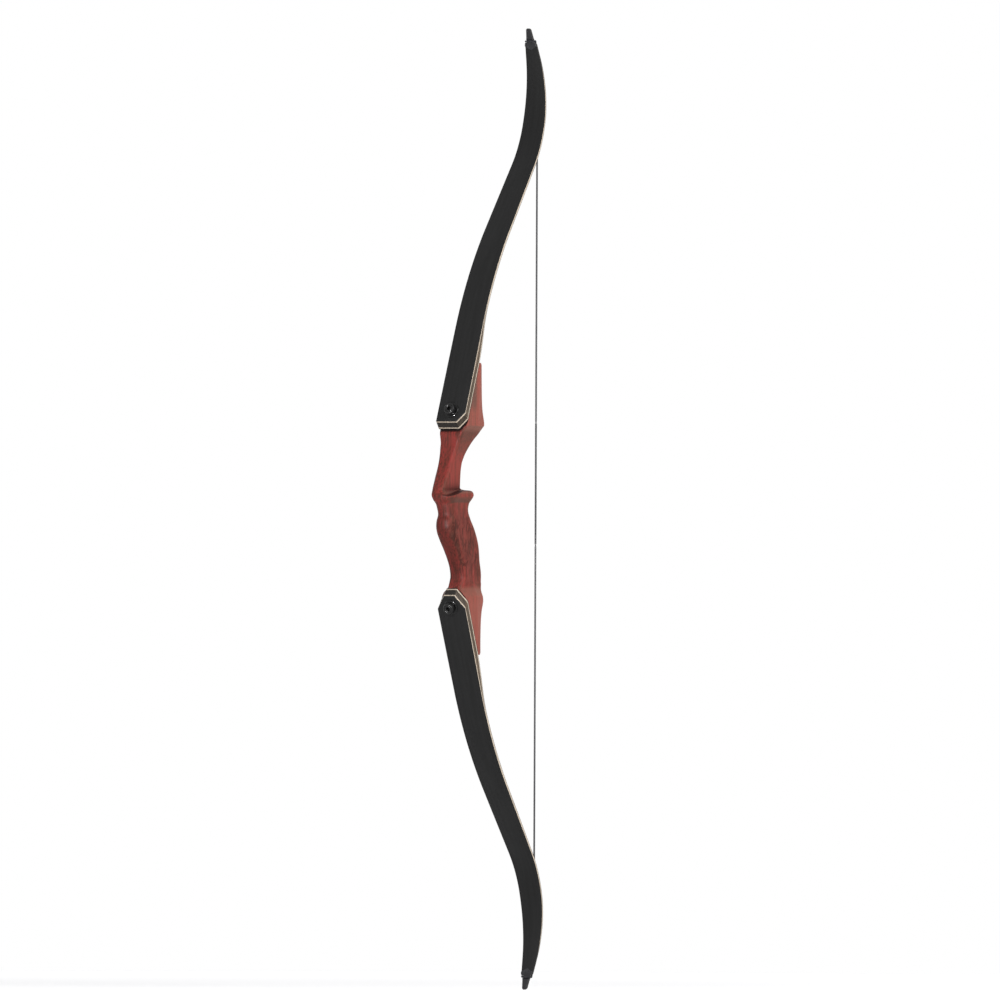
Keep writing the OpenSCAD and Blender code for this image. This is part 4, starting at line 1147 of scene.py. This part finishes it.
class BOW_OT_limbs(bpy.types.Operator):
    """Lay up both limbs: two facings, two laminations and the wedge, each in one piece across the bend"""

    bl_idname = "bow.limbs"
    bl_label = "Limbs"

    def execute(self, context):
        look = context.scene.bow_limb
        glass = limb_glass(look)
        pale = strip_wood("pale_core", look.core, 1.18, 0.6, 0.5, 0.42, 0.12, 0.94)
        brown = strip_wood("brown_wedge", look.wedge, 1.8, 0.4, 0.6, 0.4, 0.92, 0.0)
        edge, tight = look.edge * 1000, 0.05
        layers = [
            ("back_glass", edge, tight, S_END, glass, "limb_glass"),
            ("back_lamination", tight, tight, S_END, pale, "pale_core"),
            ("wedge", tight, tight, WEDGE_END, brown, "brown_wedge"),
            ("belly_lamination", tight, tight, S_END, pale, "pale_core"),
            ("belly_glass", tight, edge, S_END, glass, "limb_glass"),
        ]
        start = inside(WEDGE_END - BEND_REACH, 6) * 0.001
        end = inside(WEDGE_END + BEND_REACH, 3) * 0.001
        for side, flip in SIDES:
            right_cut = CORNERS[side]
            left_cut = right_cut if side == "lower" else None
            for joint, (name, out_r, in_r, last, made, slot_name) in enumerate(layers):
                sections = layer_points(joint, joint + 1, out_r, in_r, last, left_cut, right_cut)
                piece = grid_solid(side + "_" + name + "_strip", *sections, flip=flip)
                holes = [drill("bolt_hole", BOLT_D + 2 * FIT_GAP, -2 * BUTT_T, 2 * BUTT_T, flip)]
                if joint > 1:
                    deep = -BUTT_T + PIN_PROUD + FIT_GAP
                    holes.append(drill("pin_hole", PIN_D + 0.1, -2 * BUTT_T, deep, flip, PIN_S))
                cut(piece, holes)
                finish_with(piece, made)
                if name == "wedge":
                    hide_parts(side + "_wedge")
                else:
                    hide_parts(side + "_root_" + name, side + "_" + name)
                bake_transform(piece)
        return {"FINISHED"}


class BOW_OT_tip_plates(bpy.types.Operator):
    """Shape the black plate on the back of each tip, ramped from its V and cut with the nock"""

    bl_idname = "bow.tip_plates"
    bl_label = "Tip plates"

    def execute(self, context):
        made = tip_plate((0.012, 0.012, 0.014))
        for side, flip in SIDES:
            sections = layer_points(0, 0, 0.55, 0.03, S_END, overlay=True)
            plate = grid_solid(side + "_tip_plate", *sections, flip=flip)
            finish_with(plate, made)
            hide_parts(side + "_tip_overlay")
            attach(plate, side + "_limb")
        return {"FINISHED"}


class BOW_OT_bolts(bpy.types.Operator):
    """Turn the knob bolts with their hexagon sockets, and the washers below them"""

    bl_idname = "bow.bolts"
    bl_label = "Bolts and washers"

    def execute(self, context):
        black = worked_metal("black_metal", (0.006, 0.006, 0.006), 0.0, 0.36, 0.1, 0.22, 0.9)
        # The washer's black is darker than the knob's, partly as painted shade round the knob's foot.
        plain = worked_metal("black_washer", (0.0015, 0.0015, 0.0015), 0.0, 0.13, 0.04, 0.22, 0.9)
        profile = self.knob_profile()
        knob = pad_frame(turned(profile, hexagon=range(len(profile) - 4, len(profile))))
        washer = pad_frame(turned(self.washer_profile()))
        for side, flip in SIDES:
            bolt = grid_solid(side + "_knob_bolt", knob, crease=34, flip=flip)
            plate = grid_solid(side + "_round_washer", washer, wrap_rows=True, crease=34, flip=flip)
            for piece, node, body, look in (
                (bolt, "_limb_bolt", "_bolt_body", black), (plate, "_washer", "_washer_body", plain),
            ):
                finish_with(piece, look)
                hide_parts(side + node)
                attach(piece, side + body)
        return {"FINISHED"}

    @staticmethod
    def knob_profile():
        """(radius, height) rows of the bolt: its shaft, its knob, the groove in the knob's face and the
        socket, whose rows are the last four."""
        low, face, r = -(BUTT_T + THREAD_RUN - 1), WASHER_T + KNOB_H, KNOB_D / 2
        groove, flat = KNOB_D * 0.33, SOCKET_AF / 2
        return [
            (2.9, low), (3.1, low + 0.05), (3.95, low + 0.95), (4.0, low + 1.1),
            (4.0, WASHER_T - 0.02), (4.02, WASHER_T),
            (r - 0.5, WASHER_T), (r - 0.15, WASHER_T + 0.12), (r, WASHER_T + 0.5),
            (r, face - 1.15), (r - 0.07, face - 0.95), (r - 0.75, face - 0.2), (r - 0.95, face - 0.06),
            (r - 1.2, face),
            (groove + 0.62, face), (groove + 0.45, face - 0.08), (groove + 0.1, face - 0.45),
            (groove, face - 0.5),
            (groove - 0.1, face - 0.45), (groove - 0.45, face - 0.08), (groove - 0.62, face),
            (flat * 1.32, face), (flat * 1.27, face - 0.05), (flat * 1.02, face - 0.5),
            (flat, face - 0.6), (flat, face - SOCKET_DEPTH + 0.1), (flat - 0.1, face - SOCKET_DEPTH),
        ]

    @staticmethod
    def washer_profile():
        """(radius, height) rows once round the washer, which is bevelled at its rim."""
        w, bore = WASHER_D / 2, BOLT_D / 2 + 0.05
        return [
            (bore + 0.15, 0), (w - 0.3, 0), (w - 0.08, 0.08), (w, 0.3),
            (w, WASHER_T * 0.4), (w - 0.1, WASHER_T * 0.48), (w - 1.4, WASHER_T * 0.97),
            (w - 1.55, WASHER_T), (bore + 0.3, WASHER_T), (bore, WASHER_T - 0.3), (bore, 0.15),
        ]


class BOW_OT_inner_fittings(bpy.types.Operator):
    """Finish the brass inserts and the steel locating pins that the limbs hide"""

    bl_idname = "bow.inner_fittings"
    bl_label = "Inserts and pins"

    def execute(self, context):
        brass = worked_metal("brass", (0.6, 0.42, 0.16), 1.0, 0.24, 0.12)
        steel = worked_metal("steel", (0.45, 0.45, 0.45), 1.0, 0.2, 0.1)
        for side, _ in SIDES:
            for node, made in (("_insert", brass), ("_locating_pin", steel)):
                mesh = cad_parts[side + node].data
                mesh.materials.clear()
                mesh.materials.append(made)
        return {"FINISHED"}


class BOW_OT_string(bpy.types.Operator):
    """Make both halves of the string as twisted strands, with centre and end servings of wound thread"""

    bl_idname = "bow.string"
    bl_label = "String and servings"

    def execute(self, context):
        look = context.scene.bow_string
        strands = thread("string", look.strand, 0.1, 0.45, 2600.0)
        serving = thread("serving", look.serving, 0.06, 0.4, 1500.0)
        pitch = look.pitch * 1000
        for side, flip in SIDES:
            path = string_path(NOCKING_Z * flip)
            line, at, whole = part_of(path, 0, 0, 1.4)
            served = whole - SERVING_RUN / 2
            cord = self.cord(side, flip, line, at, served, look.lay * 1000)
            pieces = [(cord, "string", strands, side + "_string")]
            for name, start, stop, runs_on in (
                ("_end_serving", 0.0, END_SERVING_RUN, False), ("_centre_serving", served, 0.0, True),
            ):
                line, at, _ = part_of(path, start, stop, pitch / THREAD_STEPS)
                sleeve = self.sleeve(side + name, flip, line, at, pitch, runs_on)
                pieces.append((sleeve, "serving", serving, side + name))
            start, end = self.bend_range(flip)
            for piece, slot_name, made, node in pieces:
                finish_with(piece, made)
                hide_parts(node)
                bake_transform(piece)
        return {"FINISHED"}

    @staticmethod
    def cord(side, flip, line, at, served, lay):
        """Bundle of twisted strands, squeezed thinner inside the end serving and the centre serving."""
        thin = STRAND_D / 2 - 0.02
        bare = ease((at - END_SERVING_RUN - 1) / 5) * ease((served - 1 - at) / 4)
        wide = thin + (STRING_D / 2 - thin) * bare

        def radius(t):
            lobes = np.abs(np.cos(3.5 * (t + 2 * np.pi * at[:, None] / lay)))
            return wide[:, None] * (0.9 + 0.1 * lobes)

        uv = tube_uv(at, CORD_SIDES, CORD_ROUND)
        return grid_solid(side + "_strands", tube(line, radius, CORD_SIDES), uv, flip=flip, crease=60)

    @staticmethod
    def sleeve(name, flip, line, at, pitch, runs_on):
        """Serving of wound thread with round shoulders, except where it runs on into the other half."""
        away = at - at[0] if runs_on else np.minimum(at - at[0], at[-1] - at)
        shoulder = np.sqrt(np.maximum(0, 1 - (1 - np.clip(away / 0.5, 0, 1)) ** 2))

        def radius(t):
            turns = np.abs(np.sin(np.pi * at[:, None] / pitch + t / 2))
            return (SERVING_D / 2 - 0.13 + 0.13 * turns) * (0.86 + 0.14 * shoulder[:, None])

        uv = tube_uv(at, SLEEVE_SIDES, SLEEVE_ROUND)
        return grid_solid(name + "_thread", tube(line, radius, SLEEVE_SIDES), uv, flip=flip, crease=70)

    @staticmethod
    def bend_range(flip):
        """Start and end of the bend, chosen so that the wrapped stretch straightens at full draw."""
        top = belly(S_STRING, LIFT)[1]
        reach = top - NOCKING_Z * flip
        return [(0, STRING_Y * 0.001, flip * z * 0.001) for z in (top + reach * 1.5, top - reach * 0.7)]


class BOW_OT_loops(bpy.types.Operator):
    """Wind the served loop round each nock: up one groove, over the tip plate and down the other"""

    bl_idname = "bow.loops"
    bl_label = "String loops"

    def execute(self, context):
        made = bpy.data.materials["serving"]  # the plain one that came with the frame
        pitch = context.scene.bow_string.pitch * 1000
        dense = closed_curve(self.route(), np.linspace(0, 1, 1200, endpoint=False))
        line, run = even_steps(dense, pitch / THREAD_STEPS, closed=True)
        total = run[-1] + run[1]
        turns = round(total / pitch)
        along = np.roll(line, -1, 0) - np.roll(line, 1, 0)
        along /= np.linalg.norm(along, axis=1, keepdims=True)
        middle = np.array([0, *inside(S_NOCK - 8, float(thick(S_NOCK)) / 2)])
        flat = np.cross(along, line - middle)
        flat /= np.linalg.norm(flat, axis=1, keepdims=True)

        def radius(angle):
            wound = np.abs(np.sin(np.pi * run[:, None] / total * turns + angle / 2))
            return SERVING_D / 2 - 0.12 + 0.12 * wound

        ring = tube(line, radius, SLEEVE_SIDES, (flat, along))
        uv = tube_uv(np.append(run, total), SLEEVE_SIDES, SLEEVE_ROUND)
        for side, flip in SIDES:
            loop = grid_solid(side + "_wound_loop", ring, uv, wrap_rows=True, crease=70, flip=flip)
            finish_with(loop, made)
            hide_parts(side + "_loop")
            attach(loop, side + "_limb")
        return {"FINISHED"}

    @staticmethod
    def route():
        """Points once round the loop: its foot on the belly, then up, over the plate and down again."""
        t = float(thick(S_NOCK))

        def at(x, s, deep):
            return [x, *inside(s, deep)]

        up = [
            at(2, S_NOCK - 23, t + LIFT),
            at(4.6, S_NOCK - 11, t + LIFT),
            at(GROOVE_X - 0.2, S_NOCK - 2, t + LIFT * 0.7),
            [GROOVE_X, inside(S_NOCK, t / 2)[0], back(S_NOCK)[1]],
            at(GROOVE_X - 0.8, S_NOCK + 0.5, -OVERLAY_T - LIFT * 0.75),
            at(GROOVE_X / 2, S_NOCK + 1, -OVERLAY_T - LIFT),
        ]
        foot = [0, *belly(S_NECK, LIFT)]
        top = at(0, S_NOCK + 1.2, -OVERLAY_T - LIFT)
        return np.array([foot, *up, top, *[[-x, y, z] for x, y, z in up[::-1]]])


class BOW_OT_studio(bpy.types.Operator):
    """Set the pale floor, the soft lights, the white surroundings and the camera at the photo's angle"""

    bl_idname = "bow.studio"
    bl_label = "Studio"

    def execute(self, context):
        look, scene = context.scene.bow_studio, context.scene
        scene.view_settings.view_transform = "Standard"
        self.surroundings(scene)
        self.floor(look)
        right = np.array([math.cos(look.turn), math.sin(look.turn), 0])
        towards = np.array([math.sin(look.turn), -math.cos(look.turn), 0])
        up = np.array([0, 0, 1.0])
        for name, place, size, power in (
            ("key_light", right * 1.7 + towards * 2.0 + up * 1.3, (1.2, 1.6), look.key),
            ("fill_light", -right * 1.1 + towards * 2.6 + up * 0.5, (1.6, 1.6), look.key * 0.3),
            ("spark_light", -right * 0.17 + towards * 0.5, (0.03, 0.03), look.key * 0.12),
        ):
            lamp = bpy.data.lights.new(name, "AREA")
            lamp.shape, lamp.size, lamp.size_y, lamp.energy = "RECTANGLE", size[0], size[1], power
            holder = bpy.data.objects.new(name, lamp)
            holder.location = place
            holder.rotation_euler = self.aim(-place)
            holder.visible_diffuse = name != "spark_light"
            scene.collection.objects.link(holder)
        far = look.view_height * CAMERA_LENS / CAMERA_SENSOR
        camera = bpy.data.cameras.new("photo_view")
        camera.lens, camera.sensor_width, camera.clip_end = CAMERA_LENS, CAMERA_SENSOR, 300.0
        holder = bpy.data.objects.new("photo_view", camera)
        centre = right * 0.0549 + up * 0.0135
        holder.location = centre + towards * far
        holder.rotation_euler = (math.pi / 2, -math.radians(0.24), look.turn)
        scene.collection.objects.link(holder)
        scene.camera = holder
        return {"FINISHED"}

    @staticmethod
    def aim(direction):
        """Euler angles that point an object's -Z along a direction."""
        x, y, z = direction / np.linalg.norm(direction)
        return (math.acos(-z), 0, math.atan2(-x, y))

    @staticmethod
    def surroundings(scene):
        """Soft grey light all round, seen as white by the camera and in reflections."""
        world = bpy.data.worlds.new("studio")
        scene.world = world
        world.use_nodes = True
        tree = world.node_tree
        sky = next(n for n in tree.nodes if n.type == "BACKGROUND")
        tone = blend_colour(tree, seen_directly(tree), (0.36, 0.36, 0.37, 1), (1, 1, 1, 1))
        plug(tree, sky.inputs["Color"], tone)
        sky.inputs["Strength"].default_value = 1.0

    @staticmethod
    def floor(look):
        """Round pale floor that the bow stands on. Its glow is stronger in the picture than in the light
        that it gives, and grows to the rim, so that it meets the white without a line and keeps the bow's
        shadow."""
        t = np.arange(128) * 2 * np.pi / 128
        low = CAD_BOX[0].z * 1000 - 0.5
        circle = FLOOR_R * np.column_stack([np.cos(t), np.sin(t)])
        rings = [np.column_stack([circle, np.full(128, low + height)]) for height in (-20, 0)]
        disc = grid_solid("floor", np.stack(rings))
        made, tree, shader, where = material("floor")
        soft = stretched(tree, where["Object"], (1, 1, 1), 30.0, 2, 0.5)
        plug(tree, shader["Base Color"], blend_colour(tree, soft, tint(look.floor, 0.985), tint(look.floor)))
        shader["Roughness"].default_value = 0.9
        shader["Specular IOR Level"].default_value = 0.1
        away = add(tree, "ShaderNodeVectorMath", {"operation": "LENGTH"}, {0: where["Object"]})
        glow = ramp(tree, away.outputs["Value"], 0.9, 2.3, 0.1, 0.27)
        glow = maths(tree, "MULTIPLY_ADD", seen_directly(tree), glow, 0.3)
        plug(tree, shader["Emission Color"], blend_colour(tree, glow, (0, 0, 0, 1), (1, 1, 1, 1)))
        shader["Emission Strength"].default_value = 1.0
        disc.data.materials.append(made)


class BOW_PT_panel(bpy.types.Panel):
    """Lists the bow's pieces and their settings."""

    bl_idname = "BOW_PT_panel"
    bl_label = "Takedown recurve bow"
    bl_space_type = "VIEW_3D"
    bl_region_type = "UI"
    bl_category = "Bow"

    def draw(self, context):
        for label, pointer, operators in (
            ("Riser", "bow_wood", (BOW_OT_riser, BOW_OT_inner_fittings)),
            ("Limbs", "bow_limb", (BOW_OT_limbs, BOW_OT_tip_plates, BOW_OT_bolts)),
            ("String", "bow_string", (BOW_OT_string, BOW_OT_loops)),
            ("Studio", "bow_studio", (BOW_OT_studio,)),
        ):
            box = self.layout.box()
            box.label(text=label)
            look = getattr(context.scene, pointer)
            for key in look.__annotations__:
                box.prop(look, key)
            for operator in operators:
                box.operator(operator.bl_idname)


SETTINGS = (
    ("bow_wood", BowWoodLook),
    ("bow_limb", BowLimbLook),
    ("bow_string", BowStringLook),
    ("bow_studio", BowStudioLook),
)
STEPS = (
    BOW_OT_studio, BOW_OT_riser, BOW_OT_limbs, BOW_OT_tip_plates, BOW_OT_bolts, BOW_OT_inner_fittings,
    BOW_OT_string, BOW_OT_loops,
)


def register():
    """Adds the settings, operators and panel."""
    for name, group in SETTINGS:
        bpy.utils.register_class(group)
        setattr(bpy.types.Scene, name, PointerProperty(type=group))
    for made in STEPS + (BOW_PT_panel,):
        bpy.utils.register_class(made)


def unregister():
    """Removes what register added."""
    for made in (BOW_PT_panel,) + STEPS[::-1]:
        bpy.utils.unregister_class(made)
    for name, group in SETTINGS[::-1]:
        delattr(bpy.types.Scene, name)
        bpy.utils.unregister_class(group)


def main():
    """Builds the stage and every piece in turn."""
    register()
    for step in STEPS:
        area, name = step.bl_idname.split(".")
        getattr(getattr(bpy.ops, area), name)()


if __name__ == "__main__":
    main()
